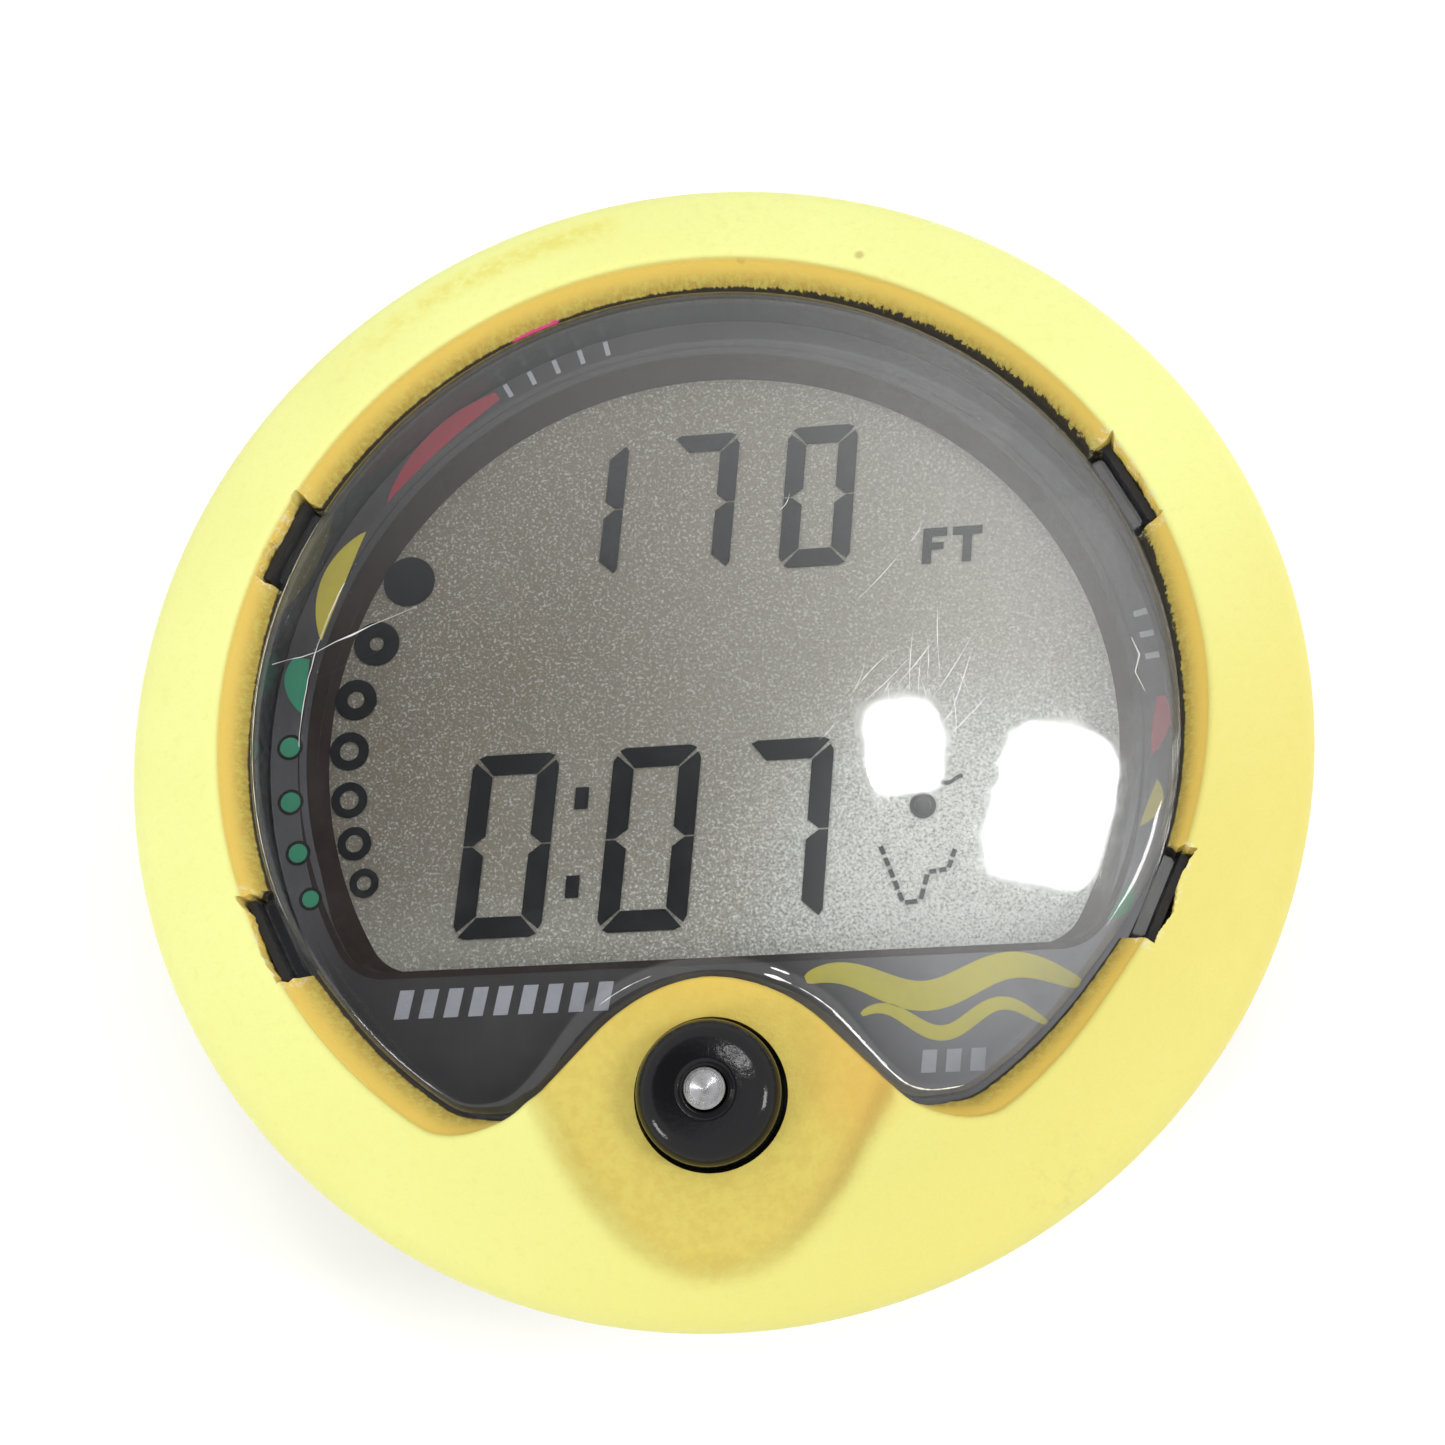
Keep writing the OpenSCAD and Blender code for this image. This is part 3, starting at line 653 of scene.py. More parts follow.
# ---------------------------------------------------------------- trim ring
EDGE_R = 2.4
EDGE_Z = RIM_Z - 3.1
EDGE_START, EDGE_END = math.radians(66), math.radians(-12)
FACE_DROP = 0.0382
FACE_LEAN = 0.03
# The skirt below the rounded edge: distance inside the ring's radius, and height over its foot
SKIRT_PROFILE = ((0.9, 6.0), (1.7, 3.0), (2.5, 0.7), (2.75, 0.2), (3.3, 0))
# The lip: places along the lens's outline, and how far outside it the lip lies there
LIP_KEYS = ((0, 1.25), (19, 0.75), (58, 1.5), (150, 1.75), (240, 1.6), (300, 1.25), (318, 0.25),
            (336, -0.05), (350, -0.1), (378, -0.45), (406, -0.1), (420, -0.05), (438, 0.3))
NOTCH_FRONT_R = 29.0
NOTCH_CORNERS_R = (30.2, 30.5, 30.8, 31.1)
NOTCH_BACK_R = 31.42


def dish(x, y):
    """How far the thumb dish lowers the face."""
    across = np.abs(x) / DISH_REACH
    edge = DISH_FOOT + DISH_RISE * across**DISH_POWER
    slope = DISH_RISE * DISH_POWER * across ** (DISH_POWER - 1) / DISH_REACH
    away = (y - edge) / np.sqrt(1 + slope**2)
    return DISH_DEPTH * smooth(away / 1.5) * smooth((-y - 9) / 3)


def face_height(x, y):
    r = np.hypot(x, y)
    outer = np.maximum(0, r - WALL_TOP_R)
    inner = np.maximum(0, WALL_TOP_R - r)
    return RIM_Z - FACE_DROP * outer**2 - FACE_LEAN * inner - dish(x, y)


def hump_share(x, y):
    """1 along the hump of the window outline and its flanks, 0 round the rest."""
    return smooth((-y - 14) / 3) * smooth((14.6 - np.abs(x)) / 4.2)


def lobe_share(x, y):
    """1 round the two lobes of the window outline."""
    return smooth((-y - 10) / 9) * (1 - hump_share(x, y))


def guard_inset(x, y):
    """How far the guard's edge stays inside the lens's outline."""
    return 0.12 + lobe_share(x, y) * (0.62 + 0.14 * smooth(0.5 + x / 20))


def bevel_size(x, y):
    """Width and drop of the guard's rounded edge, broad over the hump and at the right."""
    crest = smooth((-y - 12) / 3) * smooth((10.5 - np.abs(x)) / 4)
    right = smooth((x - 20) / 5)
    lobes = lobe_share(x, y)
    return 0.95 + 0.7 * crest + 0.45 * right - 0.45 * lobes, 1.2 + 0.5 * crest - 0.2 * lobes


def bevel_z(inset, x, y):
    """Height of the guard's rounded edge at a distance inside its outline."""
    width, drop = bevel_size(x, y)
    t = np.clip(inset / width, 0, 1)
    return GUARD_HIGH.z - drop * (1 - np.sqrt(1 - (1 - t) ** 2))


def lip_offset(count):
    """Distance from the lens's outline to the ring's lip, by index along the outline."""
    places, values = zip(*LIP_KEYS, (count, LIP_KEYS[0][1]))
    lip = np.interp(np.arange(count), places, values)
    kernel = np.hanning(13) / np.hanning(13).sum()
    return np.convolve(np.concatenate([lip[-6:], lip, lip[:6]]), kernel, "valid")


def ring_inside(lens_edge):
    """Loops up the ring's inner wall and over its rounded rim, and how far the rim tops the face."""
    ex, ey, nx, ny = lens_edge.T
    count = len(lens_edge)
    low_side = hump_share(ex, ey)
    lip = lip_offset(count)
    fillet = 0.42 - 0.12 * low_side
    # foot of the wall: on the guard along the hump, beside it and a little apart round the rest
    beside = 0.66 * lobe_share(ex, ey) - 0.05 - 0.35 * smooth((ey - 4) / 9)
    knee = beside * (1 - low_side) + (0.03 - lip) * low_side
    over = bevel_z(knee - guard_inset(ex, ey), ex, ey) + 0.06
    knee_z = (LENS_HIGH.z + 0.08) * (1 - low_side) + over * low_side
    natural = face_height(ex + nx * (lip + fillet), ey + ny * (lip + fillet))
    tip = np.maximum(natural, knee_z + 0.15 + fillet)

    def wall_loop(offset, z, jitter=0.0):
        return [
            (a + c * o + rng.uniform(-jitter, jitter), b + d * o + rng.uniform(-jitter, jitter), e)
            for a, b, c, d, o, e in zip(ex, ey, nx, ny, offset, z)
        ]

    clear = 0.09 * np.ones(count)
    loops = [wall_loop(clear, np.full(count, z)) for z in (LEDGE_Z, LENS_HIGH.z + 0.03)]
    loops.append(wall_loop(-knee, knee_z, 0.012))
    # inner wall, slightly ragged towards its foot
    for k in range(1, 11):
        t = k / 10
        height = knee_z + (tip - fillet - knee_z) * t
        loops.append(wall_loop(-knee + (lip + knee) * t**1.3, height, 0.03 * (1 - t) ** 2))
    # rounded rim
    for k in range(1, 7):
        a = math.pi / 2 * k / 6
        loops.append(wall_loop(lip + fillet * (1 - math.cos(a)), tip - fillet + fillet * math.sin(a)))
    return loops, tip - natural


def ring_angles(lens_edge, start):
    """Angle at which each point of the rim meets the outer edge, spread evenly below the hump."""
    ex, ey = lens_edge[:, 0], lens_edge[:, 1]
    angle = np.unwrap(np.arctan2(ey, ex))
    lower = (ey < -15) & (np.abs(ex) < 16.4)
    first = int(np.argmax(lower))
    last = len(lower) - 1 - int(np.argmax(lower[::-1]))
    steps = np.hypot(*np.diff(start[first:last + 1], axis=0).T)
    travel = np.concatenate([[0], np.cumsum(steps)]) / steps.sum()
    angle[first:last + 1] = angle[first] + (angle[last] - angle[first]) * travel
    return angle


def ring_face(start, angle, lift):
    """Loops over the face, from the rim to where the outer edge starts to round over."""
    face_r = RING_R - EDGE_R + EDGE_R * math.cos(EDGE_START)
    goal = np.stack([face_r * np.cos(angle), face_r * np.sin(angle)], 1)
    loops = []
    for k in range(1, 31):
        t = k / 30
        flat = start * (1 - t) + goal * t
        height = face_height(flat[:, 0], flat[:, 1]) + lift * (1 - t) ** 3
        loops.append([(x, y, z) for (x, y), z in zip(flat, height)])
    return loops


def ring_outside(angle):
    """Loops down the rounded outer edge and the skirt, and up the bore that grips the case."""
    profile = [
        (RING_R - EDGE_R + EDGE_R * math.cos(a), EDGE_Z + EDGE_R * math.sin(a))
        for a in np.linspace(EDGE_START, EDGE_END, 14)[1:]
    ]
    profile += [(RING_R - inset, SKIRT_Z + rise) for inset, rise in SKIRT_PROFILE]
    profile += [(BORE_R + 0.25, SKIRT_Z + 0.02), (BORE_R, SKIRT_Z + 0.2), (BORE_R, SKIRT_Z + 4)]
    profile.append((BORE_R, LEDGE_Z))
    return [[(r * math.cos(a), r * math.sin(a), z) for a in angle] for r, z in profile]


def hole_cutter():
    """A cylinder that clears the button."""
    bm = bmesh.new()
    hole_r, low, high = CAP_R + 0.4, LEDGE_Z - 1, RIM_Z + 1
    add_revolve(bm, [(0, low), (hole_r, low), (hole_r, high), (0, high)], 96, (0, BUTTON_Y))
    return new_object("hole_cutter", bm, YELLOW)


def notch_cutter():
    """Four blocks that cut the guard's notches, with torn sides and backs."""
    bm = bmesh.new()
    half = NOTCH_W / 2
    for a in NOTCH_ANGLES:
        turn = Matrix.Rotation(math.radians(a), 2)
        phase, drift = rng.uniform(0, 6), 0.0
        side = [(NOTCH_FRONT_R, -half)]
        side += [(r, -half + rng.uniform(-0.12, 0.2)) for r in NOTCH_CORNERS_R]
        back = []
        for k in range(61):
            drift = 0.8 * drift + rng.uniform(-0.055, 0.055)
            uneven = 0.1 * math.sin(phase + k * 0.17) + drift
            back.append((NOTCH_BACK_R + uneven, -half + NOTCH_W * k / 60))
        other = [(r, half + rng.uniform(-0.2, 0.12)) for r in reversed(NOTCH_CORNERS_R)]
        other.append((NOTCH_FRONT_R, half))
        add_plate(bm, [tuple(turn @ Vector(p)) for p in side + back + other], LEDGE_Z - 1, RIM_Z + 2)
    return new_object("notch_cutter", bm, YELLOW)


def trim_ring():
    """The ring as one closed band of loops, cut for the button and the guard's tabs."""
    lens_edge = window_outline(LENS_R, HUMP_R, LOBE_R)
    loops, lift = ring_inside(lens_edge)
    start = np.array([p[:2] for p in loops[-1]])
    angle = ring_angles(lens_edge, start)
    loops += ring_face(start, angle, lift) + ring_outside(angle)
    bm = bmesh.new()
    add_loops(bm, loops, closed=True)
    ring = new_object("trim_ring", bm, YELLOW)
    cut(ring, hole_cutter())
    cut(ring, notch_cutter())
    ring.data.shade_smooth()
    ring.data.set_sharp_from_angle(angle=math.radians(40))
    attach(ring, "case")
    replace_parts(ring, "bezel_ring")


trim_ring()


# ---------------------------------------------------------------- lens guard
def guard_cover():
    outline = window_outline(LENS_R, HUMP_R, LOBE_R)
    top, low = GUARD_HIGH.z, GUARD_LOW.z
    ex, ey = outline[:, 0], outline[:, 1]
    edge = guard_inset(ex, ey)
    width = bevel_size(ex, ey)[0]
    loops = [moved_loop(outline, -edge - 0.06, low), moved_loop(outline, -edge, low + 0.06)]
    for k in range(17):
        inset = width * (1 - math.cos(math.pi / 2 * k / 16))
        loops.append(moved_loop(outline, -edge - inset, bevel_z(inset, ex, ey)))
    loops.append(moved_loop(outline, -edge - width - 0.35, top))
    bm = bmesh.new()
    rings = add_loops(bm, loops)
    bm.faces.new(rings[-1])
    bm.faces.new(list(reversed(rings[0])))
    for a in NOTCH_ANGLES:
        turn = Matrix.Rotation(math.radians(a), 2)
        half = NOTCH_W / 2 - 0.6
        inner, corner, outer = LENS_R - 0.02, LENS_R + 0.5, LENS_R + 0.7
        tab = [(inner, -half), (corner, -half), (outer, -half + 0.2),
               (outer, half - 0.2), (corner, half), (inner, half)]
        add_plate(bm, [tuple(turn @ Vector(p)) for p in tab], low, low + 0.4)
    cover = piece("guard_cover", bm, GUARD, "case", 30)
    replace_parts(cover, "lens_guard")


guard_cover()


# ---------------------------------------------------------------- dark surround of the display
def display_surround():
    """The sloping dark wall between the mask and the display, and the frame behind it."""
    mask_low = cad_mm("dial_mask")[0].z
    lip = INK_Z + 0.02
    foot = cad_mm("lcd_frame")[0].z
    wide = view_outline(MASK_R, VIEW_FLAT + 0.3, VIEW_CORNER)
    near = view_outline(VIEW_R, VIEW_FLAT, VIEW_CORNER)
    loops = [moved_loop(near, out, z) for out, z in ((0.5, foot), (0.5, lip - 0.25), (0.06, lip - 0.02))]
    for k in range(9):
        t = k / 8
        bow = 0.12 * math.sin(math.pi * t)
        loops.append([
            (a[0] * (1 - t) + b[0] * t + b[2] * bow, a[1] * (1 - t) + b[1] * t + b[3] * bow,
             lip + (mask_low - 0.02 - lip) * t)
            for a, b in zip(near, wide)
        ])
    loops += [moved_loop(wide, 0.5, mask_low - 0.02), moved_loop(wide, 0.55, foot)]
    bm = bmesh.new()
    add_loops(bm, loops, closed=True)
    surround = piece("display_surround", bm, FRAME_DARK, "case", 50)
    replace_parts(surround, "lcd_frame")


display_surround()


def window_edge():
    """Lip of the mask round the display window, and a thin dark sheet round the window, widest along its flat
    foot: a painted shadow of the well.
    """
    hole = view_outline(MASK_R, VIEW_FLAT + 0.4, VIEW_CORNER)
    y = hole[:, 1]
    lip = 0.45 * smooth((y + 13) / 5)
    # band: widths of the thin dark sheet on the mask round the window, a painted shadow of the well, widest
    # along its flat foot
    band = 0.12 + 0.32 * smooth((-y - 3) / 9)
    for name, material, start, end, low, high in (
        ("mask_lip", MASK, 0.1 * lip, -lip, MASK_Z - 0.1, MASK_Z),
        ("window_edge", FRAME_DARK, 0 * band, band, MASK_Z + 0.003, MASK_Z + 0.012),
    ):
        bm = bmesh.new()
        corners = ((start, low), (end, low), (end, high), (start, high))
        add_loops(bm, [moved_loop(hole, out, z) for out, z in corners], closed=True)
        piece(name, bm, material, "case", 30)


window_edge()


# ---------------------------------------------------------------- display digits and symbols
INK_LOW = INK_Z + 0.10
INK_HIGH = INK_Z + 0.14
SLANT = math.tan(math.radians(6.2))
SEGMENTS = {"0": "abcdef", "1": "bc", "7": "abc"}


def segment_shapes(w, h, t, gap):
    """Outlines of the six outer segments of one upright digit; no digit shown needs the middle bar."""
    k, c, m = gap * 0.7, t * 0.55, h / 2
    top = [(c, h), (w - c, h), (w - c * 0.4, h - c * 0.25), (w - t - k * 0.4, h - t),
           (t + k * 0.4, h - t), (c * 0.4 + k * 0.5, h - c * 0.25)]
    left = [(0, h - c - k), (c * 0.3, h - c * 0.5 - k), (t, h - t - k), (t, m + t * 0.45 + k * 0.4),
            (t * 0.45, m + k * 0.5), (0, m + k * 0.5)]

    def flip(shape):
        return [(w - x, y) for x, y in reversed(shape)]

    def turn(shape):
        return [(x, h - y) for x, y in reversed(shape)]

    right = flip(left)
    return {"a": top, "b": right, "c": turn(right), "d": turn(top), "e": turn(left), "f": left}


def add_digit(bm, digit, x, y, w, h, t, gap=0.16):
    for key in SEGMENTS[digit]:
        shape = [(x + u + v * SLANT, y + v) for u, v in segment_shapes(w, h, t, gap)[key]]
        add_plate(bm, shape, INK_LOW, INK_HIGH)


def add_stroke(bm, path, width, z0=INK_LOW, z1=INK_HIGH):
    add_plate(bm, ribbon_points(path, [width] * len(path)), z0, z1)


def display_figures():
    bm = bmesh.new()
    # depth, 170
    for digit, x in (("1", -11.5), ("7", -3.7), ("0", 4.55)):
        add_digit(bm, digit, x, 11.9, 4.85, 10.4, 1.3)
    # dive time, 0:07
    for digit, x in (("0", -17.75), ("0", -8.15), ("7", 0.7)):
        add_digit(bm, digit, x, -12.75, 5.9, 12.5, 1.42)
    for x, y in ((-9.75, -9.55), (-9.1, -3.55)):
        dot = [(x - 0.48, y - 0.75), (x + 0.42, y - 0.75), (x + 0.55, y + 0.75), (x - 0.35, y + 0.75)]
        add_plate(bm, dot, INK_LOW, INK_HIGH)
    # unit beside the depth
    foot = 11.55
    unit = [(14.3, foot, 0.62, 2.55), (14.92, 13.5, 1.0, 0.6), (14.92, 12.55, 0.8, 0.5),
            (16.3, 13.5, 2.0, 0.6), (17.0, foot, 0.62, 1.95)]
    for x, y, w, h in unit:
        corners = ((0, 0), (1, 0), (1, 1), (0, 1))
        lean = [(x + u * w + (y - foot + v * h) * SLANT, y + v * h) for u, v in corners]
        add_plate(bm, lean, INK_LOW, INK_HIGH)
    piece("display_figures", bm, INK, "case", 30)


def display_symbols():
    bm = bmesh.new()
    # ascent column: rings that shrink downwards, full disc at the top
    add_plate(bm, circle_points(-21.2, 12.75, 1.82), INK_LOW, INK_HIGH)
    column = [(-23.4, 8.3, 1.6, 0.5), (-24.75, 4.3, 1.46, 0.6), (-25.1, 0.65, 1.36, 0.67),
              (-25.0, -2.8, 1.25, 0.66), (-24.55, -5.85, 1.16, 0.6), (-23.8, -8.6, 1.0, 0.5)]
    for x, y, r_out, r_in in column:
        add_ring_plate(bm, x, y, r_out, r_in, INK_LOW, INK_HIGH)
    # small diver's clock, ripple and dive profile at the lower right
    add_ring_plate(bm, 13.5, -5.3, 0.86, 0.52, INK_LOW, INK_HIGH)
    add_plate(bm, circle_points(13.5, -5.3, 0.5), INK_LOW, INK_HIGH)
    wave = [(13.7 + 2.5 * k / 14, -3.65 + 0.22 * math.sin(k / 14 * 2 * math.pi * 1.3)) for k in range(15)]
    add_stroke(bm, wave, 0.26)
    profile = [(10.6, -7.8), (11.9, -11.7), (13.0, -11.6), (13.6, -9.75), (14.9, -9.6), (15.45, -8.2)]
    for (x0, y0), (x1, y1) in zip(profile, profile[1:]):
        length = math.hypot(x1 - x0, y1 - y0)
        dashes = max(1, round(length / 0.85))
        for k in range(dashes):
            ends = ((k + 0.12) / dashes, (k + 0.82) / dashes)
            add_stroke(bm, [(x0 + (x1 - x0) * t, y0 + (y1 - y0) * t) for t in ends], 0.3)
    piece("display_symbols", bm, INK, "case", 30)


display_figures()
display_symbols()


# ---------------------------------------------------------------- printed marks on the mask
PRINT_LOW = MASK_Z + 0.004
PRINT_HIGH = MASK_Z + 0.02
# Green dots at the left: radius of their circle, and each dot's angle and size
DOTS_R = 28.5
DOTS = ((179.1, 0.68), (-173.2, 0.67), (-166.0, 0.63), (-159.4, 0.56))


def add_mark(bm, a0, a1, r0, r1, out, belly, blunt=0.0):
    """A leaf-shaped mark from angle a0, radius r0, to a1, r1; blunt 1 leaves its far end at full width."""
    steps = 28
    outer, inner = [], []
    for k in range(steps + 1):
        t = k / steps
        angle, r = a0 + (a1 - a0) * t, r0 + (r1 - r0) * t
        swell = math.sin(math.pi * t * (1 - blunt / 2))
        outer.append(polar(r + out * swell**0.8 + 0.001, angle))
        inner.append(polar(r - belly * swell - 0.001, angle))
    add_plate(bm, outer + inner[::-1], PRINT_LOW, PRINT_HIGH)


def red_marks(bm):
    add_mark(bm, 141.4, 119.8, 28.5, 29.0, 1.15, 0.30, 0.25)
    add_mark(bm, -7.0, 1.0, 28.3, 28.9, 0.9, 0.2, 0.3)


def yellow_marks(bm):
    add_mark(bm, 163.4, 146.4, 27.75, 28.45, 1.40, 0.28)
    add_mark(bm, -16.5, -10.0, 28.2, 28.8, 0.8, 0.1)


def green_marks(bm):
    add_mark(bm, 174.2, 166.4, 27.95, 28.25, 1.45, 0.15, 0.42)
    add_mark(bm, -29.5, -24.0, 28.2, 28.6, 0.8, 0.1)
    for a, r in DOTS:
        add_plate(bm, circle_points(*polar(DOTS_R, a), r), PRINT_LOW, PRINT_HIGH)


def dark_outlines(bm):
    for a, r in DOTS:
        add_ring_plate(bm, *polar(DOTS_R, a), r + 0.22, r + 0.01, PRINT_LOW, PRINT_HIGH)


def slanted_bar(bm, x, low, high, width, lean):
    corners = [(x, low), (x + width, low), (x + width + lean, high), (x + lean, high)]
    add_plate(bm, corners, PRINT_LOW, PRINT_HIGH)


def grey_marks(bm):
    # tick marks at the upper left, in place of a word
    for k in range(5):
        a = 118.2 - k * 3.7
        add_stroke(bm, [polar(28.6, a), polar(29.7, a)], 0.34, PRINT_LOW, PRINT_HIGH)
    for k in range(3):
        add_stroke(bm, [polar(28.5, 12.5 - k * 3), polar(29.4, 12.5 - k * 3)], 0.4, PRINT_LOW, PRINT_HIGH)
    # slanted bars at the lower left and small squares at the lower right, in place of names
    for k in range(9):
        slanted_bar(bm, -20.9 + k * 1.62, -18.2, -16.35, 0.95, 0.4)
    for k in range(3):
        slanted_bar(bm, 12.5 + k * 1.5, -22.9, -21.5, 0.9, 0.2)


def swell_mark(bm):
    """Two plain wave strokes."""
    for lift, x0, x1, thick in ((0.0, 5.6, 22.6, 1.9), (-2.35, 9.0, 20.4, 0.95)):
        steps = 60
        path, widths = [], []
        for k in range(steps + 1):
            t = k / steps
            path.append((x0 + (x1 - x0) * t, -17.3 + lift + 0.85 * math.sin(2 * math.pi * (1.5 * t + 0.1))))
            widths.append(thick * (0.25 + 0.75 * math.sin(math.pi * t) ** 0.5))
        add_plate(bm, ribbon_points(path, widths), PRINT_LOW, PRINT_HIGH)


for draw, colour, worn in (
    (red_marks, (0.38, 0.040, 0.065), (0.30, 0.045, 0.065)),
    (yellow_marks, (0.60, 0.50, 0.06), (0.48, 0.40, 0.07)),
    (green_marks, (0.05, 0.32, 0.19), (0.06, 0.25, 0.16)),
    (dark_outlines, (0.006, 0.006, 0.006), (0.015, 0.014, 0.014)),
    (grey_marks, (0.45, 0.45, 0.50), (0.33, 0.33, 0.37)),
    (swell_mark, (0.66, 0.58, 0.07), (0.55, 0.48, 0.08)),
):
    mesh = bmesh.new()
    draw(mesh)
    piece(draw.__name__, mesh, printed("ink_" + draw.__name__, colour, worn), "case", 30)


# ---------------------------------------------------------------- wear on the guard
WEAR_LOW = GUARD_HIGH.z + 0.001
WEAR_HIGH = GUARD_HIGH.z + 0.006


def bent_path(x, y, degrees, length, bend, steps=8):
    a = math.radians(degrees)
    c, s = math.cos(a), math.sin(a)
    path = []
    for k in range(steps + 1):
        t = k / steps
        sag = bend * math.sin(math.pi * t)
        path.append((x + length * t * c - sag * s, y + length * t * s + sag * c))
    return path


def add_edge_glint(bm, first, last, share, width):
    """A thin pale line along the guard's rounded edge, between two places of its outline: a painted
    highlight.
    """
    outline = window_outline(LENS_R, HUMP_R, LOBE_R)
    loops = []
    count = last - first + 1
    for k in range(first, last + 1):
        x, y, nx, ny = outline[k % len(outline)]
        wide = bevel_size(x, y)[0]
        taper = math.sin(math.pi * (k - first + 0.5) / count) ** 0.5
        half = width * (0.3 + rng.random()) * taper / 2
        loop = []
        for side, lift in ((-1, 0.002), (1, 0.002), (1, 0.008), (-1, 0.008)):
            inset = wide * share + half * side
            reach = guard_inset(x, y) + inset
            loop.append((x - nx * reach, y - ny * reach, bevel_z(inset, x, y) + lift))
        loops.append([bm.verts.new(p) for p in loop])
    for a, b in zip(loops, loops[1:]):
        for i in range(4):
            bm.faces.new((a[i], a[(i + 1) % 4], b[(i + 1) % 4], b[i]))
    bm.faces.new(loops[0])
    bm.faces.new(loops[-1][::-1])


def guard_wear():
    """Cracks of the guard, pale lines painted as highlights along its rounded edges, and the fine scratches
    where it was rubbed.
    """
    bm = bmesh.new()
    crack = [(-28.2, 4.6), (-27.2, 4.85), (-26.2, 5.0), (-25.2, 5.3), (-24.0, 5.9), (-22.9, 6.3),
             (-21.6, 6.9), (-20.2, 7.4), (-18.6, 8.0)]
    crack_widths = [0.04, 0.02, 0.05, 0.03, 0.05, 0.13, 0.04, 0.03, 0.02]
    add_plate(bm, ribbon_points(crack, crack_widths), WEAR_LOW, WEAR_HIGH + 0.002)
    side = [polar(25.55 + 0.045 * k + rng.uniform(-0.03, 0.03), 157 + 1.7 * k) for k in range(16)]
    add_plate(bm, ribbon_points(side, [rng.uniform(0.02, 0.06) for _ in side]), WEAR_LOW, WEAR_HIGH)
    far = [polar(27.2, 6), polar(27.5, 3.5), polar(27.1, 1.2), polar(27.6, -1.5)]
    add_plate(bm, ribbon_points(far, [0.03, 0.09, 0.06, 0.03]), WEAR_LOW, WEAR_HIGH)
    worn = printed("cracked_plastic", (0.56, 0.56, 0.55), (0.36, 0.36, 0.35), 0.45)
    piece("guard_cracks", bm, worn, "case", 30)
    bm = bmesh.new()
    for cx, cy, spread, lean, count in ((12.8, -2, 3.4, 68, 26), (8, 9, 6, 35, 3)):
        for k in range(count):
            x, y = rng.gauss(cx, spread * 0.6), rng.gauss(cy, spread * 0.6)
            path = bent_path(x, y, rng.gauss(lean, 20), rng.uniform(1.0, 5.0), rng.uniform(-0.2, 0.2))
            widths = [rng.uniform(0.014, 0.036) * (0.2 + math.sin(math.pi * i / 8)) for i in range(9)]
            add_plate(bm, ribbon_points(path, widths), WEAR_LOW, WEAR_HIGH)
    # pale lines painted as highlights along the rounded edge: left edge, then crest, flank and lobe to the
    # right of the hump
    for first, last, share, width in ((212, 268, 0.42, 0.05), (354, 366, 0.6, 0.035), (390, 396, 0.5, 0.15),
                                      (391, 395, 0.78, 0.12), (398, 448, 0.5, 0.10)):
        add_edge_glint(bm, first, last, share, width)
    bright = printed("scratches_and_painted_glints", (0.90, 0.90, 0.89), (0.62, 0.62, 0.61), 0.4)
    piece("guard_scratches_and_glints", bm, bright, "case", 30)


guard_wear()


# ---------------------------------------------------------------- button
def button():
    """Domed cap turned about the button's axis, with a recess that clears the spring at full travel."""
    foot, crown, rim = CAP_LOW.z, CAP_HIGH.z, CAP_R + 0.12
    bore = STEM_R + 0.1
    roof = cad_mm("button_spring")[1].z + TRAVEL + 0.03
    profile = [(2.9, roof), (2.95, foot + 0.1), (3.05, foot), (rim - 0.12, foot), (rim, foot + 0.12)]
    shoulder, ease = 3.1, 0.0212
    tilt = math.atan(2 * ease * shoulder)
    bend = (rim - shoulder) / (1 - math.sin(tilt))
    centre_z = crown - ease * shoulder**2 - bend * math.cos(tilt)
    for k in range(25):
        a = math.pi / 2 - (math.pi / 2 - tilt) * k / 24
        profile.append((rim - bend + bend * math.sin(a), centre_z + bend * math.cos(a)))
    for k in range(1, 25):
        r = shoulder - (shoulder - bore) * k / 24
        profile.append((r, crown - ease * r * r - 0.16 * smooth((1.85 - r) / 0.45)))
    profile.append((bore - 0.02, roof))
    bm = bmesh.new()
    add_revolve(bm, profile + [profile[0]], 160, (0, BUTTON_Y))
    bmesh.ops.remove_doubles(bm, verts=bm.verts, dist=1e-5)
    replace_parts(piece("push_cap", bm, GLOSS, "button", 50), "button_cap")


button()


# ---------------------------------------------------------------- floor, light, camera
def worn_edges(data):
    """Rounds a lamp's corners and makes its edge uneven, like a curtained window."""
    data.use_nodes = True
    n = Tree(data.node_tree)
    n.place = n.mapped(n.new("NewGeometry").outputs["Parametric"], (2, 2, 0), (-1, -1, 0))
    powers = [n.math("POWER", n.math("ABSOLUTE", n.axis(name)), 4.0) for name in ("X", "Y")]
    wobble = n.times(n.math("SUBTRACT", n.noise(1.6, 3, 0.5), 0.5), 1.1)
    reach = n.math("ADD", n.math("ADD", *powers), wobble)
    n.link(n.span(reach, 0.72, 0.95, 1.0, 0.0), data.node_tree.nodes["Emission"].inputs["Strength"])


def lamp(name, place_mm, aim_mm, size_mm, watts, colour=(1, 1, 1), ragged=False):
    data = bpy.data.lights.new(name, "AREA")
    data.shape = "RECTANGLE"
    data.size, data.size_y = size_mm[0] * MM, size_mm[1] * MM
    data.energy = watts
    data.color = colour
    if ragged:
        worn_edges(data)
    obj = bpy.data.objects.new(name, data)
    obj.location = Vector(place_mm) * MM
    aim = Vector(aim_mm) * MM - obj.location
    obj.rotation_euler = aim.to_track_quat("-Z", "Y").to_euler()
    bpy.context.scene.collection.objects.link(obj)


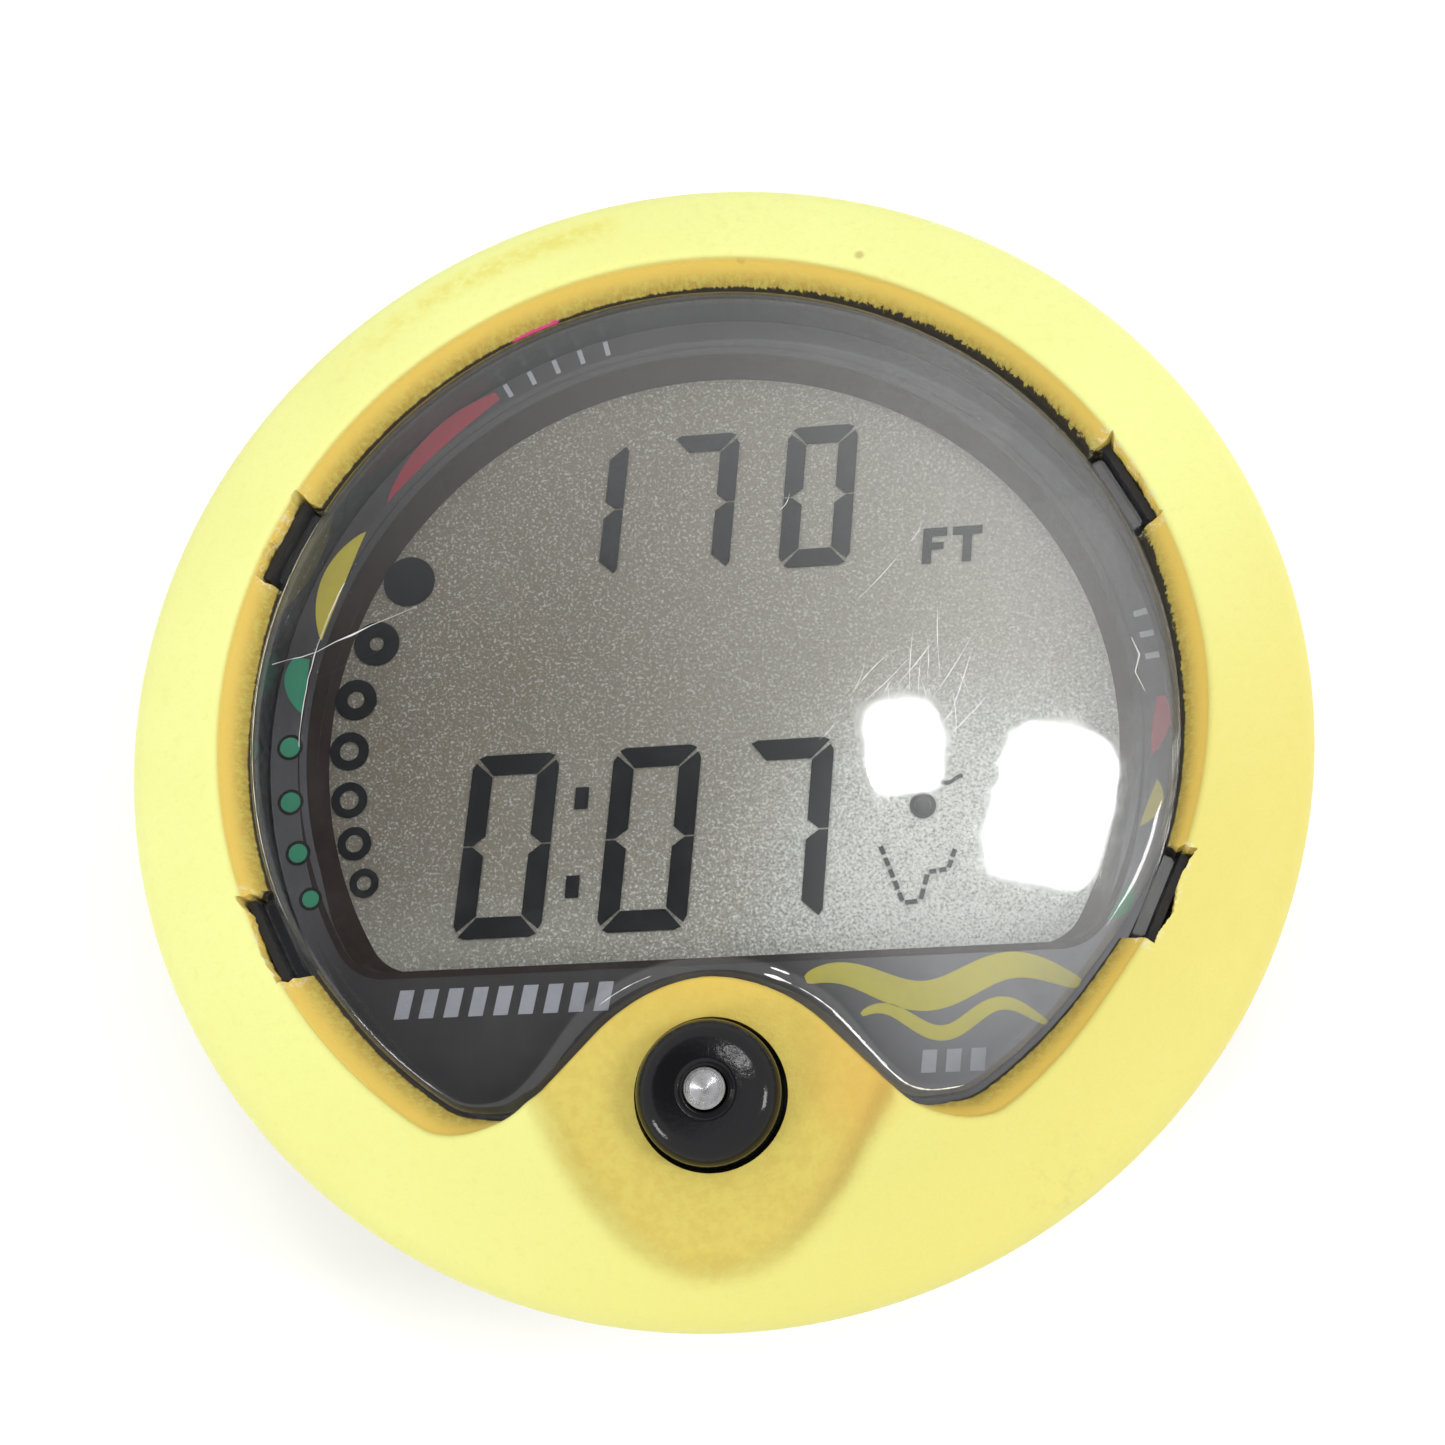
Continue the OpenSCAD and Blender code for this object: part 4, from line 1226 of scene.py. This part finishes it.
def studio():
    bm = bmesh.new()
    half = 1500
    add_plate(bm, [(-half, -half), (half, -half), (half, half), (-half, half)], -2.0, -0.02)
    n = Nodes("floor_white")
    n.set(Base_Color=n.mix(n.noise(0.02, 3), (0.86, 0.86, 0.86), (0.90, 0.90, 0.90)), Roughness=0.9)
    floor = new_object("floor", bm, n.material)

    # white surroundings with one soft dark patch high up, where the camera and its holder are
    world = bpy.data.worlds.new("studio")
    bpy.context.scene.world = world
    world.use_nodes = True
    n = Tree(world.node_tree)
    n.place = n.new("TexCoord").outputs["Generated"]
    away = n.distance(Vector((-0.25, 0.18, 0.95)).normalized())
    background = world.node_tree.nodes["Background"]
    background.inputs["Color"].default_value = (1.0, 1.0, 1.0, 1)
    n.link(n.span(away, 0.12, 0.38, 0.05, 1.17), background.inputs["Strength"])

    lamp("soft_left", (-610, -330, 430), (0, 0, 20), (200, 170), 1.7, (1.0, 1.0, 0.98))
    lamp("soft_right", (600, -60, 600), (0, 0, 20), (220, 220), 2.6, (1.0, 0.99, 0.97))
    lamp("window_small", (3, 146, 526), (10, 10, 26), (25, 28), 0.053, ragged=True)
    lamp("window_large", (48, 124, 526), (15, 0, 26), (38, 50), 0.12, ragged=True)


def photo_camera():
    """The photograph's view: high over the lower right, close, and rolled."""
    azimuth, elevation, roll = math.radians(19.5), math.radians(71.5), math.radians(-21.9)
    distance, aim = 130.0, Vector((1.13, -0.64, 24.6))
    level = math.cos(elevation)
    back = Vector((math.sin(azimuth) * level, -math.cos(azimuth) * level, math.sin(elevation)))
    right = Vector((0, 0, 1)).cross(back).normalized()
    up = back.cross(right)
    turned_right = right * math.cos(roll) + up * math.sin(roll)
    turned_up = up * math.cos(roll) - right * math.sin(roll)
    data = bpy.data.cameras.new("camera")
    data.sensor_width = 36
    data.lens = 50.72
    data.clip_start = 0.005
    camera = bpy.data.objects.new("camera", data)
    rotation = Matrix((turned_right, turned_up, back)).transposed().to_4x4()
    camera.matrix_world = Matrix.Translation((aim + back * distance) * MM) @ rotation
    bpy.context.scene.collection.objects.link(camera)
    bpy.context.scene.camera = camera


studio()
photo_camera()
bpy.context.scene.view_settings.view_transform = "Standard"
